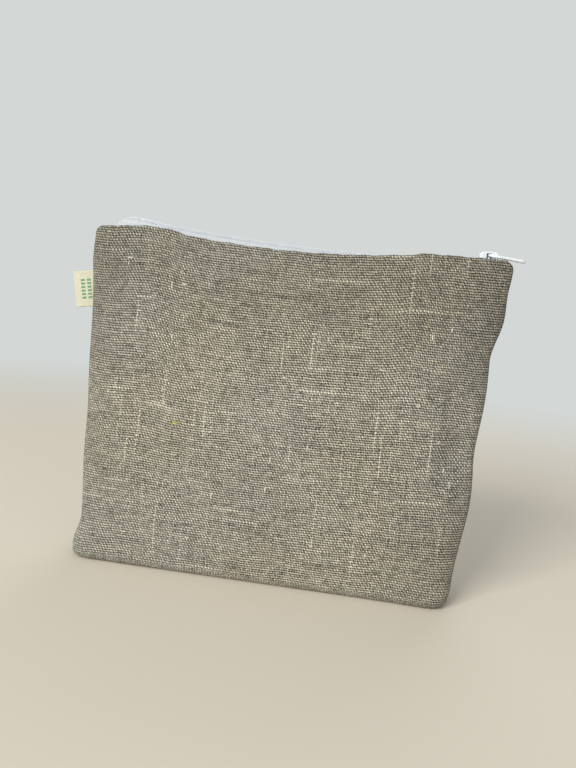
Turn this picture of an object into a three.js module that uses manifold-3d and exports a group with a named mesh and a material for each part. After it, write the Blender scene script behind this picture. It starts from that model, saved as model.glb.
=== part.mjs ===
// Linen zip pouch with a boxed base, as a standalone three.js model.
// Millimetres, +Z up. The origin is the middle of the base, X runs along the zip
// and the front faces -Y. Every piece is a closed solid in its own named mesh.
import * as THREE from 'three';
import { mergeVertices } from 'three/addons/utils/BufferGeometryUtils.js';
import Module from 'manifold-3d';

const wasm = await Module();
wasm.setup();

// Pouch outside
const HEIGHT = 177.9; // floor to the linen edge beside the zip
const LEFT_TOP = 106; // middle to the left top corner
const LEFT_KNEE = 102.5; // middle to the left side where the boxed end fades out
const LEFT_BASE = 100.2; // middle to the left side just over the base
const LEFT_EAR = 3.7; // the base's end seam stands out past that
const RIGHT_TOP = 111; // middle to the right top corner
const RIGHT_WAIST = 105.2; // middle to the right side under its shoulder
const RIGHT_KNEE = 103.6;
const RIGHT_BASE = 95.6;
const RIGHT_EAR = 0.5;
const KNEE_AT = 0.42; // heights, as shares of the whole
const WAIST_AT = 0.66;
const SHOULDER_FROM = 0.76;
const SHOULDER_TO = 0.85;
const EAR_FROM = 0.13;
const EAR_TO = 0.03;
const BASE_DEPTH = 42; // boxed base, front to back
const TOP_DEPTH = 16.8; // over both folded edges at the zip
const CORNER_RADIUS = 5; // round of the top corners
const BASE_EDGE_RADIUS = 4; // round where wall meets base
const EDGE_SAG = 4.8; // dip of the linen edge between its stiff ends
const SAG_HALF = 70; // half the length of that dip
const SAG_AT = 2; // middle of the dip along X
const EDGE_RISE = 1.4; // hump of the linen edge where the zip starts
const RISE_HALF = 22; // half the length of that hump
const RISE_FROM_LEFT = 29; // its middle from the left top corner

// Cloth
const LINEN = 0.8; // linen thickness
const LINING = 0.4; // lining thickness
const SEAM_GAP = 0.3; // space between two sewn edges
const HEM_DEPTH = 8; // linen turned in at the zip
const HEM_GAP = 0.3; // space inside the turned edge
const LAYER_GAP = 0.4; // space between stacked layers
const LINING_DROP = 6.5; // lining edge below the linen edge
const FLARE_DROP = 16; // lining starts to lean in this far below the linen edge

// Zip, on an arc that hangs between the stiff ends
const ZIP_RADIUS = 1100; // radius of the hanging chain
const ZIP_LOW_AT = 45; // lowest point of the chain along X
const ZIP_LOW = 3.35; // chain middle below the linen corners at that point
const CHAIN_LEFT = 19; // left side seam to the last coil turn
const COIL_PITCH = 1.45; // one turn of the coil
const FILAMENT = 0.42; // thickness of the coil filament
const COIL_HEIGHT = 1.62; // coil over both legs
const COIL_REACH = 0.5; // coil heads past the middle line
const COIL_WIDTH = 2.8; // one coil from its heads to its back
const CORE = 0.44; // core cord inside the coil
const TAPE = 0.5; // tape thickness
const TAPE_EDGE = 0.45; // tape edge from the middle line
const TAPE_BELOW = 0.09; // tape under the coil
const TAPE_TUCK = 5; // tape end turned down past the bottom stop
const TAPE_TO_SEAM = 3.6; // right end of the tape to the side seam
const TUCK_RADIUS = 5.5; // radius of that turn
const STOP_LENGTH = 1.5; // top stops along the zip
const STOP_WALL = 0.6; // jaws of the stops
const BOTTOM_STOP_LENGTH = 2.6; // bottom stop along the zip
const STOP_HALF_WIDTH = 2.2; // bottom stop from the middle line

// Slider
const SLIDER_LENGTH = 10;
const SLIDER_FROM_SEAM = 11.7; // slider middle to the right side seam
const PLATE = 1; // slider plates
const FLANGE = 0.45; // slider side walls
const RUN_GAP = 0.19; // running clearance in the slider
const DIAMOND = 1.5; // width of the wedge that parts the coils
const DIAMOND_NOSE = 0.24; // width of its blunt nose
const CROWN_WIDTH = 2.4;
const CROWN_LENGTH = 8.8;
const CROWN_ROOF = 0.8;
const CROWN_FOOT = 1.2;
const SEAT_GAP = 0.15; // crown and spring over what carries them
const SPRING = 0.25; // lock spring strip
const PIVOT_HEIGHT = 4.14; // pull tab pivot over the chain middle
const PIVOT_ALONG = 0.2; // pull tab pivot right of the slider middle

// Pull tab
const TAB_LENGTH = 18; // pivot to tip
const TAB_THICKNESS = 1.1;
const TAB_ROOT_WIDTH = 5.4;
const TAB_TIP_WIDTH = 6.4;
const TAB_WINDOW = 3.2; // window that the crown passes through, across
const TAB_WINDOW_LENGTH = 5.6; // and along, from the pivot
const TAB_HOLE = 2.6; // hole near the tip
const TAB_TILT = 8.4; // degrees below the slider plane, over its length
const TAB_BEND = 6; // degrees of bend along the tab

// Label, a folded loop of cotton tape in the left side seam
const LABEL_HEIGHT = 19;
const LABEL_REACH = 10.6; // out of the seam at mid height
const LABEL_LAYER = 0.45;
const LABEL_LOOP = 0.7; // space inside the loop
const LABEL_DROP = 35.4; // its middle below the linen edge
const LABEL_SKEW = 0.14; // lean of its outer edge

// Grid counts
const FACE_STEPS = 10; // columns across a panel's face
const END_STEPS = 4; // columns round each side
const WALL_ROWS = [0.06, 0.13, 0.42, 0.65, 0.76, 0.87, 1]; // rows up the wall, as shares

const smooth = (from, to, value) => {
  const t = Math.min(Math.max((value - from) / (to - from), 0), 1);
  return t * t * (3 - 2 * t);
};
const mix = (a, b, t) => a + (b - a) * t;

// Outline of the pouch at a relative height, 0 at the floor and 1 at the zip
const ear = (w) => smooth(EAR_FROM, EAR_TO, w);
const leftHalf = (w) => {
  const side = mix(LEFT_BASE, LEFT_KNEE, smooth(0, KNEE_AT, w));
  return side + (LEFT_TOP - LEFT_KNEE) * w + LEFT_EAR * ear(w);
};
const rightHalf = (w) => {
  const rise = 1 - (1 - Math.min(w / KNEE_AT, 1)) ** 2;
  const side = mix(RIGHT_BASE, RIGHT_KNEE, rise) + RIGHT_EAR * ear(w);
  const waist = side + (RIGHT_WAIST - RIGHT_KNEE) * smooth(KNEE_AT, WAIST_AT, w);
  return waist + (RIGHT_TOP - RIGHT_WAIST) * smooth(SHOULDER_FROM, SHOULDER_TO, w);
};
const halfDepth = (w) => mix(TOP_DEPTH / 2, BASE_DEPTH / 2, 1 - w ** 1.8);
const squareness = (w) => 4 + 4 * (1 - w) ** 4 + 2 * smooth(0.85, 1, w);

// A column runs from -2 at the left side seam through -1 and 1, the front corners, to 2
function section(column, w) {
  const n = squareness(w);
  const x = Math.min(Math.max(column, -1), 1);
  const y = Math.min(1, 2 - Math.abs(column));
  const reach = (Math.abs(x) ** n + y ** n) ** (-1 / n);
  return [x * reach, y * reach];
}

// Height of the linen edge at a place along X
function edgeHeight(x) {
  const dip = Math.max(0, 1 - ((x - SAG_AT) / SAG_HALF) ** 2);
  const soften = smooth(0, 0.35, dip);
  const toEnd = x < 0 ? LEFT_TOP + x : RIGHT_TOP - x;
  const past = Math.min(Math.max(CORNER_RADIUS - toEnd, 0), CORNER_RADIUS);
  const drop = CORNER_RADIUS - Math.sqrt(CORNER_RADIUS ** 2 - past ** 2);
  const fromRise = Math.min(Math.abs(x + LEFT_TOP - RISE_FROM_LEFT) / RISE_HALF, 1);
  const rise = EDGE_RISE * (1 - fromRise ** 2) ** 2;
  return HEIGHT + rise - EDGE_SAG * dip * soften - drop;
}

// A point of the pouch's skin, set in from the outside by inset
function skin(column, z, inset, shrink = 0) {
  const half = column < 0 ? leftHalf : rightHalf;
  const top = edgeHeight(half(1) * section(column, 1)[0]);
  const w = Math.min(Math.max(z / top, 0), 1);
  const [sx, sy] = section(column, w);
  const x = (half(w) - inset - shrink) * sx;
  const y = SEAM_GAP / 2 + (halfDepth(w) - inset - shrink - SEAM_GAP / 2) * sy;
  return new THREE.Vector3(x, -y, z);
}

// A point of the base plate: share 0 lies on the middle seam, 1 at the base edge
function basePoint(column, share, z, inset) {
  const edge = skin(column, z, inset, BASE_EDGE_RADIUS - inset);
  const ridge = (LEFT_BASE + RIGHT_BASE) / 2 - BASE_DEPTH / 2;
  const middle = new THREE.Vector3((column / 2) * ridge, -SEAM_GAP / 2, z);
  return middle.lerp(edge, share);
}

const topOf = (column) => {
  const half = column < 0 ? leftHalf : rightHalf;
  return edgeHeight(half(1) * section(column, 1)[0]);
};

// Rows of a panel from the base seam to the lining's edge: each gives a point for an inset
function panelRows(insetAt) {
  const rows = [];
  for (const share of [0, 0.5]) {
    rows.push((c, i) => basePoint(c, share, i, i));
  }
  for (const turn of [0, Math.PI / 4, Math.PI / 2]) {
    rows.push((c, i) => {
      const radius = BASE_EDGE_RADIUS - i;
      const z = i + radius * (1 - Math.cos(turn));
      return skin(c, z, i, radius * (1 - Math.sin(turn)));
    });
  }
  for (const share of WALL_ROWS) {
    rows.push((c, i) => {
      const z = mix(BASE_EDGE_RADIUS, topOf(c) - LINING_DROP, share);
      return skin(c, z, i + insetAt(topOf(c) - z));
    });
  }
  return rows;
}

// Columns crowd towards the front corners, where the wall turns
const columns = [];
const endColumn = (k) => 2 - Math.cos((Math.PI / 2) * (k / END_STEPS));
for (let k = END_STEPS; k > 0; k -= 1) columns.push(-endColumn(k));
for (let k = 0; k <= FACE_STEPS; k += 1) columns.push(-Math.cos((Math.PI * k) / FACE_STEPS));
for (let k = 1; k <= END_STEPS; k += 1) columns.push(endColumn(k));

// Shell builders
function solid(points, triangles) {
  const geometry = new THREE.BufferGeometry();
  geometry.setAttribute('position', new THREE.Float32BufferAttribute(points.flat(), 3));
  let volume = 0;
  for (const [a, b, c] of triangles) {
    const [p, q, r] = [points[a], points[b], points[c]];
    volume += p[0] * (q[1] * r[2] - q[2] * r[1]) - p[1] * (q[0] * r[2] - q[2] * r[0]);
    volume += p[2] * (q[0] * r[1] - q[1] * r[0]);
  }
  const facing = volume > 0 ? triangles : triangles.map(([a, b, c]) => [a, c, b]);
  geometry.setIndex(facing.flat());
  return geometry;
}

// A sheet with thickness: near and far are grids of points of the same size
function thickSheet(near, far) {
  const rows = near.length;
  const across = near[0].length;
  const points = [...near.flat(), ...far.flat()].map((p) => p.toArray());
  const triangles = [];
  const quad = (a, b, c, d) => triangles.push([a, b, c], [a, c, d]);
  const at = (side, r, c) => side * rows * across + r * across + c;
  for (let r = 0; r + 1 < rows; r += 1) {
    for (let c = 0; c + 1 < across; c += 1) {
      quad(at(0, r, c), at(0, r, c + 1), at(0, r + 1, c + 1), at(0, r + 1, c));
      quad(at(1, r, c), at(1, r + 1, c), at(1, r + 1, c + 1), at(1, r, c + 1));
    }
  }
  const last = rows - 1;
  const end = across - 1;
  for (let c = 0; c < end; c += 1) {
    quad(at(0, 0, c), at(1, 0, c), at(1, 0, c + 1), at(0, 0, c + 1));
    quad(at(0, last, c), at(0, last, c + 1), at(1, last, c + 1), at(1, last, c));
  }
  for (let r = 0; r < last; r += 1) {
    quad(at(0, r, 0), at(0, r + 1, 0), at(1, r + 1, 0), at(1, r, 0));
    quad(at(0, r, end), at(1, r, end), at(1, r + 1, end), at(0, r + 1, end));
  }
  return solid(points, triangles);
}

// A tube through rings of points, closed at both ends
function ringTube(rings) {
  const sides = rings[0].length;
  const points = rings.flat().map((p) => p.toArray());
  const triangles = [];
  for (let r = 0; r + 1 < rings.length; r += 1) {
    for (let k = 0; k < sides; k += 1) {
      const next = (k + 1) % sides;
      const [a, b] = [r * sides + k, r * sides + next];
      triangles.push([a, b, b + sides], [a, b + sides, a + sides]);
    }
  }
  const tail = (rings.length - 1) * sides;
  for (let k = 1; k + 1 < sides; k += 1) {
    triangles.push([0, k + 1, k], [tail, tail + k, tail + k + 1]);
  }
  return solid(points, triangles);
}

const mirrored = (grid) => grid.map((row) => row.map((p) => new THREE.Vector3(p.x, -p.y, p.z)));

// Joins and cuts
function toManifold(geometry) {
  const bare = geometry.clone();
  bare.deleteAttribute('normal');
  bare.deleteAttribute('uv');
  const merged = mergeVertices(bare, 1e-4);
  return new wasm.Manifold(new wasm.Mesh({
    numProp: 3,
    vertProperties: new Float32Array(merged.attributes.position.array),
    triVerts: new Uint32Array(merged.index.array),
  }));
}

function fromManifold(shape) {
  const mesh = shape.getMesh();
  const geometry = new THREE.BufferGeometry();
  geometry.setAttribute('position', new THREE.BufferAttribute(mesh.vertProperties, 3));
  geometry.setIndex(new THREE.BufferAttribute(mesh.triVerts, 1));
  return geometry;
}

function outline(points) {
  return new THREE.Shape(points.map(([x, y]) => new THREE.Vector2(x, y)));
}

// A prism of an outline in X and Y, between two heights
function slab(shape, low, high, bevel = 0) {
  const geometry = new THREE.ExtrudeGeometry(shape, {
    depth: high - low - 2 * bevel,
    bevelEnabled: bevel > 0,
    bevelThickness: bevel,
    bevelSize: bevel,
    bevelOffset: -bevel,
    bevelSegments: 1,
    curveSegments: 6,
  });
  geometry.translate(0, 0, low + bevel);
  return geometry;
}

// A prism of an outline in X and Z, centred on Y
function sidewall(shape, width, bevel = 0) {
  const geometry = slab(shape, -width / 2, width / 2, bevel);
  geometry.rotateX(Math.PI / 2);
  return geometry;
}

// Linen panels, each one cloth from the base seam up over its turned edge
function linenGrids() {
  const turnAt = LINEN + HEM_GAP / 2;
  const rows = panelRows(() => 0);
  rows.push((c, i) => skin(c, topOf(c) - turnAt, i));
  const near = rows.map((row) => columns.map((c) => row(c, 0)));
  const far = rows.map((row) => columns.map((c) => row(c, LINEN)));
  const add = (place) => {
    near.push(columns.map((c) => place(c, turnAt)));
    far.push(columns.map((c) => place(c, HEM_GAP / 2)));
  };
  for (const angle of [Math.PI / 2, Math.PI]) {
    add((c, radius) => skin(
      c, topOf(c) - turnAt + radius * Math.sin(angle), turnAt - radius * Math.cos(angle),
    ));
  }
  add((c, radius) => skin(c, topOf(c) - HEM_DEPTH, turnAt + radius));
  return [near, far];
}

// Lining panels, inside the linen and then inside the zip tape
function liningGrids() {
  const seat = LINEN + LAYER_GAP;
  const tapeSeat = 2 * LINEN + HEM_GAP + 2 * LAYER_GAP + TAPE;
  const lean = (below) => (tapeSeat - seat) * smooth(FLARE_DROP, LINING_DROP, below);
  const rows = panelRows(lean);
  const grid = (inset) => rows.map((row) => columns.map((c) => row(c, inset)));
  return [grid(seat), grid(seat + LINING)];
}

// The chain's arc: along is measured from its lowest point, up is square to it
const CHAIN_MIDDLE = HEIGHT - ZIP_LOW;
function onChain(along, y, up) {
  const turn = along / ZIP_RADIUS;
  const radius = ZIP_RADIUS - up;
  const x = ZIP_LOW_AT + radius * Math.sin(turn);
  return new THREE.Vector3(x, y, CHAIN_MIDDLE + ZIP_RADIUS - radius * Math.cos(turn));
}
const alongAt = (x) => ZIP_RADIUS * Math.asin((x - ZIP_LOW_AT) / ZIP_RADIUS);

const sliderMiddle = alongAt(RIGHT_TOP - SLIDER_FROM_SEAM);
const sliderLeft = sliderMiddle - SLIDER_LENGTH / 2;
const sliderRight = sliderMiddle + SLIDER_LENGTH / 2;
const chainStart = alongAt(CHAIN_LEFT - LEFT_TOP);
const chainEnd = sliderRight + FILAMENT;
const stopRight = chainStart - 3 * FILAMENT;
const stopLeft = stopRight - BOTTOM_STOP_LENGTH;
const splitWide = DIAMOND / 2 + RUN_GAP + COIL_REACH;
const split = (along) => splitWide * smooth(sliderLeft + 1.8, sliderRight - 0.6, along);

// A flattened continuous coil: leg out, head, leg back, then on to the next turn
function coil(side) {
  const t = FILAMENT / 2;
  const up = COIL_HEIGHT / 2 - t;
  const head = COIL_REACH - t;
  const back = COIL_REACH - COIL_WIDTH + t;
  const corners = [[back, up, -1, 1], [head, up, 1, 1], [head, -up, 1, -1], [back, -up, -1, -1]];
  const rings = [];
  const offset = side < 0 ? 0 : COIL_PITCH / 2;
  for (let s = chainStart + offset; s < chainEnd - t; s += COIL_PITCH) {
    for (const [y, h, outY, outH] of corners) {
      const point = (ds, k) => {
        const across = side * (split(s) - y - k * outY * t);
        return onChain(s + ds, across, h + k * outH * t);
      };
      rings.push([point(t, 1), point(-t, 1), point(-t, -1), point(t, -1)]);
    }
  }
  return ringTube(rings);
}

// The cord that the coil is wound on
function coreCord(side) {
  const middle = COIL_WIDTH / 2 - COIL_REACH;
  const rings = [];
  const steps = 14;
  for (let k = 0; k <= steps; k += 1) {
    const share = k / steps;
    const s = mix(chainStart - FILAMENT, chainEnd + FILAMENT, share);
    const y = side * (middle + split(s));
    const r = CORE / 2;
    rings.push([[r, 0], [0, r], [-r, 0], [0, -r]].map(([dy, dh]) => onChain(s, y + dy, dh)));
  }
  return ringTube(rings);
}

// The half depth left inside the pouch's wall at a place along X and a height
function roomAt(x, z, inset) {
  const w = Math.min(z / edgeHeight(x), 1);
  const half = (x < 0 ? leftHalf(w) : rightHalf(w)) - inset;
  const n = squareness(w);
  const share = Math.min(Math.abs(x) / half, 0.999);
  return (halfDepth(w) - inset) * (1 - share ** n) ** (1 / n);
}

const tapeTop = -COIL_HEIGHT / 2 - TAPE_BELOW;
const tapeSeat = 2 * LINEN + HEM_GAP + LAYER_GAP;
const tapeRight = RIGHT_TOP - TAPE_TO_SEAM;

// Zip tape: flat under the coil, then down between the turned linen and the lining
function tapeGrids() {
  const stations = [];
  const ends = [stopLeft - TAPE_TUCK, alongAt(tapeRight)];
  const steps = 13;
  for (let k = 0; k <= 4; k += 1) stations.push(mix(ends[0], stopLeft, k / 4));
  for (let k = 1; k < steps; k += 1) stations.push(mix(stopLeft, sliderLeft, k / steps));
  for (let k = 0; k <= 6; k += 1) stations.push(mix(sliderLeft, ends[1], k / 6));
  const rowsOf = (deep) => {
    const at = (s, row) => {
      const past = Math.max(stopLeft - s, 0);
      const tuck = TUCK_RADIUS - Math.sqrt(Math.max(TUCK_RADIUS ** 2 - past ** 2, 0));
      const x = onChain(s, 0, 0).x;
      const linen = edgeHeight(x);
      const wall = (z) => roomAt(x, z, tapeSeat + deep);
      const level = tapeTop - deep;
      const flat = Math.min(wall(linen) - 0.25, sliderHalf(sliderRight) + RUN_GAP);
      const chainZ = onChain(s, 0, level).z - tuck;
      if (row === 0) return new THREE.Vector3(x, -TAPE_EDGE - split(s), chainZ);
      if (row === 1) return new THREE.Vector3(x, -flat + deep, chainZ);
      const shoulder = Math.min(chainZ - 0.9 + deep, linen - 1);
      const hem = Math.min(linen - HEM_DEPTH, chainZ - 3);
      const z = row === 2 ? shoulder : hem;
      return new THREE.Vector3(x, -wall(z), z);
    };
    return [0, 1, 2, 3].map((row) => stations.map((s) => at(s, row)));
  };
  return [rowsOf(0), rowsOf(TAPE)];
}

// Slider, built flat: X along the zip, Z square to it, then set on the arc
const sliderHalf = (along) => (
  COIL_WIDTH - COIL_REACH + split(along) + RUN_GAP + FLANGE
);
const plateLow = COIL_HEIGHT / 2 + RUN_GAP;
const plateTop = plateLow + PLATE;
const floorTop = tapeTop - TAPE - RUN_GAP;

function sliderOutline(inner) {
  const stations = [];
  for (let k = 0; k <= 8; k += 1) stations.push(mix(sliderLeft, sliderRight, k / 8));
  const edge = stations.map((s) => [s - sliderMiddle, sliderHalf(s) - inner]);
  const nose = FLANGE + 0.2;
  edge[0][0] += inner ? -1 : 0;
  edge[8][0] += inner ? 1 : 0;
  if (!inner) {
    edge.unshift([edge[0][0], edge[0][1] - nose]);
    edge[1][0] += nose;
    edge.push([edge[9][0], edge[9][1] - nose]);
    edge[9][0] -= nose;
  }
  return outline([...edge, ...edge.map(([x, y]) => [x, -y]).reverse()]);
}

function diamondOutline() {
  const edge = [];
  const half = (s) => split(s) - COIL_REACH - RUN_GAP;
  let nose = sliderLeft;
  while (half(nose) < DIAMOND_NOSE / 2) nose += DIAMOND_NOSE / 2;
  for (let k = 0; k <= 6; k += 1) {
    const s = mix(nose, sliderRight - PLATE / 3, k / 6);
    edge.push([s - sliderMiddle, half(s)]);
  }
  return outline([...edge, ...edge.map(([x, y]) => [x, -y]).reverse()]);
}

function sliderBody() {
  const flangeLow = tapeTop + RUN_GAP / 2;
  const block = toManifold(slab(sliderOutline(0), flangeLow, plateTop, 0.2));
  const tunnel = toManifold(slab(sliderOutline(FLANGE), flangeLow - 1, plateLow));
  const floor = toManifold(slab(sliderOutline(0), floorTop - PLATE, floorTop, 0.2));
  const diamond = toManifold(slab(diamondOutline(), floorTop - PLATE / 2, plateLow + PLATE / 2));
  return fromManifold(block.subtract(tunnel).add(floor).add(diamond));
}

// Crown: a bridge over the pull tab's bar, open on both sides
const roofUnder = PIVOT_HEIGHT + TAB_THICKNESS / 2 + SPRING + 2 * SEAT_GAP;
const crownTop = roofUnder + CROWN_ROOF;
function crownOutline() {
  const half = CROWN_LENGTH / 2;
  const low = plateTop + SEAT_GAP;
  const shoulder = 1.1;
  return outline([
    [-half, low], [-half, crownTop - shoulder], [-half + shoulder, crownTop],
    [half - shoulder, crownTop], [half, crownTop - shoulder], [half, low],
    [half - CROWN_FOOT, low], [half - CROWN_FOOT, roofUnder - 0.5],
    [half - CROWN_FOOT - 0.5, roofUnder], [-half + CROWN_FOOT + 0.5, roofUnder],
    [-half + CROWN_FOOT, roofUnder - 0.5], [-half + CROWN_FOOT, low],
  ]);
}

// Lock spring: a strip under the crown's roof with its foot bent down
function springOutline() {
  const top = roofUnder - SEAT_GAP;
  const left = -CROWN_LENGTH / 2 + CROWN_FOOT + 0.5 + SEAT_GAP;
  const right = -left;
  const foot = plateTop + SEAT_GAP;
  return outline([
    [left, foot], [left, top], [right, top], [right, top - SPRING],
    [left + SPRING, top - SPRING], [left + SPRING, foot],
  ]);
}

// Pull tab along +X from its pivot, bent a little and tilted down at rest
function pullTab() {
  const radius = TAB_THICKNESS / 2;
  const start = ((TAB_TILT - TAB_BEND / 2) * Math.PI) / 180;
  const steps = 8;
  const upper = [];
  const lower = [];
  for (let k = 0; k <= steps; k += 1) {
    const share = k / steps;
    const slope = start + ((TAB_BEND * Math.PI) / 180) * share;
    const mean = start + ((TAB_BEND * Math.PI) / 180) * (share / 2);
    const x = TAB_LENGTH * share * Math.cos(mean);
    const z = -TAB_LENGTH * share * Math.sin(mean);
    upper.push([x + radius * Math.sin(slope), z + radius * Math.cos(slope)]);
    lower.push([x - radius * Math.sin(slope), z - radius * Math.cos(slope)]);
  }
  const strip = toManifold(sidewall(outline([...upper, ...lower.reverse()]), TAB_TIP_WIDTH + 2));
  const tip = TAB_LENGTH * Math.cos((TAB_TILT * Math.PI) / 180) + radius;
  const root = TAB_ROOT_WIDTH / 2;
  const wide = TAB_TIP_WIDTH / 2;
  const shape = new THREE.Shape();
  shape.moveTo(-radius, -root);
  shape.lineTo(TAB_WINDOW_LENGTH + 1, -root);
  shape.lineTo(tip - wide, -wide);
  shape.absarc(tip - wide, 0, wide, -Math.PI / 2, Math.PI / 2, false);
  shape.lineTo(TAB_WINDOW_LENGTH + 1, root);
  shape.lineTo(-radius, root);
  const window = new THREE.Path();
  window.moveTo(0, -TAB_WINDOW / 2);
  window.lineTo(0, TAB_WINDOW / 2);
  window.lineTo(TAB_WINDOW_LENGTH, TAB_WINDOW / 2);
  window.lineTo(TAB_WINDOW_LENGTH, -TAB_WINDOW / 2);
  const hole = new THREE.Path();
  hole.absarc(tip - wide, 0, TAB_HOLE / 2, 0, Math.PI * 2, true);
  shape.holes.push(window, hole);
  const plan = toManifold(slab(shape, -TAB_LENGTH, TAB_LENGTH));
  const bar = new THREE.CylinderGeometry(radius, radius, TAB_ROOT_WIDTH, 12);
  return fromManifold(strip.intersect(plan).add(toManifold(bar)));
}

// A prism along the zip with its section in Y and up, to seat on the chain
function alongZip(section, length) {
  const block = slab(outline(section), -length / 2, length / 2);
  block.rotateX(Math.PI / 2);
  block.rotateZ(Math.PI / 2);
  return block;
}

// Top stop: a clip round the edge of one tape
function topStop(side) {
  const upperJaw = tapeTop + RUN_GAP;
  const lowerJaw = tapeTop - TAPE - RUN_GAP;
  const edge = TAPE_EDGE + splitWide;
  const web = edge - RUN_GAP - STOP_WALL;
  const deep = edge + 2 * STOP_WALL;
  const section = [
    [web, upperJaw + STOP_WALL], [deep, upperJaw + STOP_WALL], [deep, upperJaw],
    [edge - RUN_GAP, upperJaw], [edge - RUN_GAP, lowerJaw], [deep, lowerJaw],
    [deep, lowerJaw - STOP_WALL], [web, lowerJaw - STOP_WALL],
  ];
  return alongZip(section.map(([y, h]) => [side * y, h]), STOP_LENGTH);
}

// Bottom stop: a moulded bridge over both tape edges
function bottomStop() {
  const upper = tapeTop + RUN_GAP;
  const lower = tapeTop - TAPE - RUN_GAP;
  const web = TAPE_EDGE - RUN_GAP;
  const wide = STOP_HALF_WIDTH;
  const half = [
    [wide, lower - STOP_WALL], [wide, lower], [web, lower],
    [web, upper], [wide, upper], [wide, upper + STOP_WALL],
  ];
  return alongZip([...half, ...half.map(([y, h]) => [-y, h]).reverse()], BOTTOM_STOP_LENGTH);
}

// Label: one folded loop, cut square to the seam and leaning a little
function sideLabel() {
  const turn = LABEL_LOOP / 2 + LABEL_LAYER;
  const middle = HEIGHT - LABEL_DROP;
  const near = [];
  const far = [];
  for (let k = 0; k <= 6; k += 1) {
    const z = middle + LABEL_HEIGHT * (k / 6 - 0.5);
    const seam = leftHalf(z / HEIGHT) + SEAM_GAP;
    const lean = LABEL_SKEW * (z - middle);
    const fold = leftHalf(middle / HEIGHT) + LABEL_REACH + lean - turn;
    const path = [[-seam, -1, 0], [-mix(seam, fold, 0.5), -1, 0], [-fold, -1, 0]];
    path.push([-fold, -Math.SQRT1_2, Math.SQRT1_2], [-fold, 0, 1], [-fold, Math.SQRT1_2, Math.SQRT1_2]);
    path.push([-fold, 1, 0], [-mix(seam, fold, 0.5), 1, 0], [-seam, 1, 0]);
    const row = (r) => path.map(([x, dy, dx]) => new THREE.Vector3(x - r * dx, r * dy, z));
    near.push(row(turn));
    far.push(row(LABEL_LOOP / 2));
  }
  return thickSheet(near, far);
}

const finishes = {
  linen: { color: 0x99937f, roughness: 0.95, metalness: 0 },
  lining: { color: 0xe4e0d2, roughness: 0.9, metalness: 0 },
  tape: { color: 0xe9ecef, roughness: 0.85, metalness: 0 },
  coil: { color: 0xf1f4f6, roughness: 0.45, metalness: 0 },
  enamel: { color: 0xf2f5f7, roughness: 0.3, metalness: 0.1 },
  steel: { color: 0xb9bcc0, roughness: 0.35, metalness: 1 },
  label: { color: 0xe6e1c8, roughness: 0.9, metalness: 0 },
};

function piece(name, geometry, finish) {
  const settings = { ...finishes[finish], side: THREE.FrontSide };
  const mesh = new THREE.Mesh(geometry, new THREE.MeshStandardMaterial(settings));
  mesh.name = name;
  return mesh;
}

// A group whose own X runs along the chain at a place on it
function seatOnChain(along) {
  const group = new THREE.Group();
  group.position.copy(onChain(along, 0, 0));
  group.rotation.y = -along / ZIP_RADIUS;
  return group;
}

const pouch = new THREE.Group();
pouch.name = 'zip_pouch';

const linen = linenGrids();
const lining = liningGrids();
const tape = tapeGrids();
pouch.add(piece('outer_front_panel', thickSheet(...linen), 'linen'));
pouch.add(piece('outer_back_panel', thickSheet(...linen.map(mirrored)), 'linen'));
pouch.add(piece('lining_front', thickSheet(...lining), 'lining'));
pouch.add(piece('lining_back', thickSheet(...lining.map(mirrored)), 'lining'));
pouch.add(piece('zip_tape_front', thickSheet(...tape), 'tape'));
pouch.add(piece('zip_tape_back', thickSheet(...tape.map(mirrored)), 'tape'));
for (const [name, side] of [['front', -1], ['back', 1]]) {
  pouch.add(piece(`zip_coil_${name}`, coil(side), 'coil'));
  pouch.add(piece(`coil_core_${name}`, coreCord(side), 'tape'));
  const seat = seatOnChain(chainEnd + 2 * FILAMENT + STOP_LENGTH / 2);
  seat.add(piece(`top_stop_${name}`, topStop(side), 'enamel'));
  pouch.add(seat);
}
pouch.add(piece('side_label', sideLabel(), 'label'));

const stopSeat = seatOnChain((stopLeft + stopRight) / 2);
stopSeat.add(piece('bottom_stop', bottomStop(), 'enamel'));
pouch.add(stopSeat);

const slider = seatOnChain(sliderMiddle);
slider.add(piece('slider_body', sliderBody(), 'enamel'));
const crown = piece('slider_crown', sidewall(crownOutline(), CROWN_WIDTH), 'enamel');
slider.add(crown);
slider.add(piece('lock_spring', sidewall(springOutline(), CROWN_WIDTH - 1), 'steel'));
const tab = piece('pull_tab', pullTab(), 'enamel');
tab.position.set(PIVOT_ALONG, 0, PIVOT_HEIGHT);
slider.add(tab);
pouch.add(slider);

export default pouch;
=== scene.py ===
# Linen zip pouch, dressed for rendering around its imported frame. Metres, +Z up.
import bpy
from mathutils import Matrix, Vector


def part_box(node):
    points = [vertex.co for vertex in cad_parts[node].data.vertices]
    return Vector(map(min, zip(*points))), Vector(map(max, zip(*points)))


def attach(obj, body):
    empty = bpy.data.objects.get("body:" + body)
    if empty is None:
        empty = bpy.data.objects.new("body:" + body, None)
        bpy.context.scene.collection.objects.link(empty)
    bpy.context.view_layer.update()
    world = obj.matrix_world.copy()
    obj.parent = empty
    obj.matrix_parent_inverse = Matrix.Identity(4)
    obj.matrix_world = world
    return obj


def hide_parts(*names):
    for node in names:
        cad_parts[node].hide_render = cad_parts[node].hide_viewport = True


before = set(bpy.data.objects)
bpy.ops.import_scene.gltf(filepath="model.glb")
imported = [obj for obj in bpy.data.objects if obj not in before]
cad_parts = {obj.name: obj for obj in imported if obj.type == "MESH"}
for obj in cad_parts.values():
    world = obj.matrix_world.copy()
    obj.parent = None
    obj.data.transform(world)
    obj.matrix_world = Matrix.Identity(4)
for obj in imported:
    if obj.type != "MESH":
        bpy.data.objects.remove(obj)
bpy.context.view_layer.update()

import math
import random

import bmesh
import bpy
import numpy as np
from mathutils import Matrix, Vector

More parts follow.
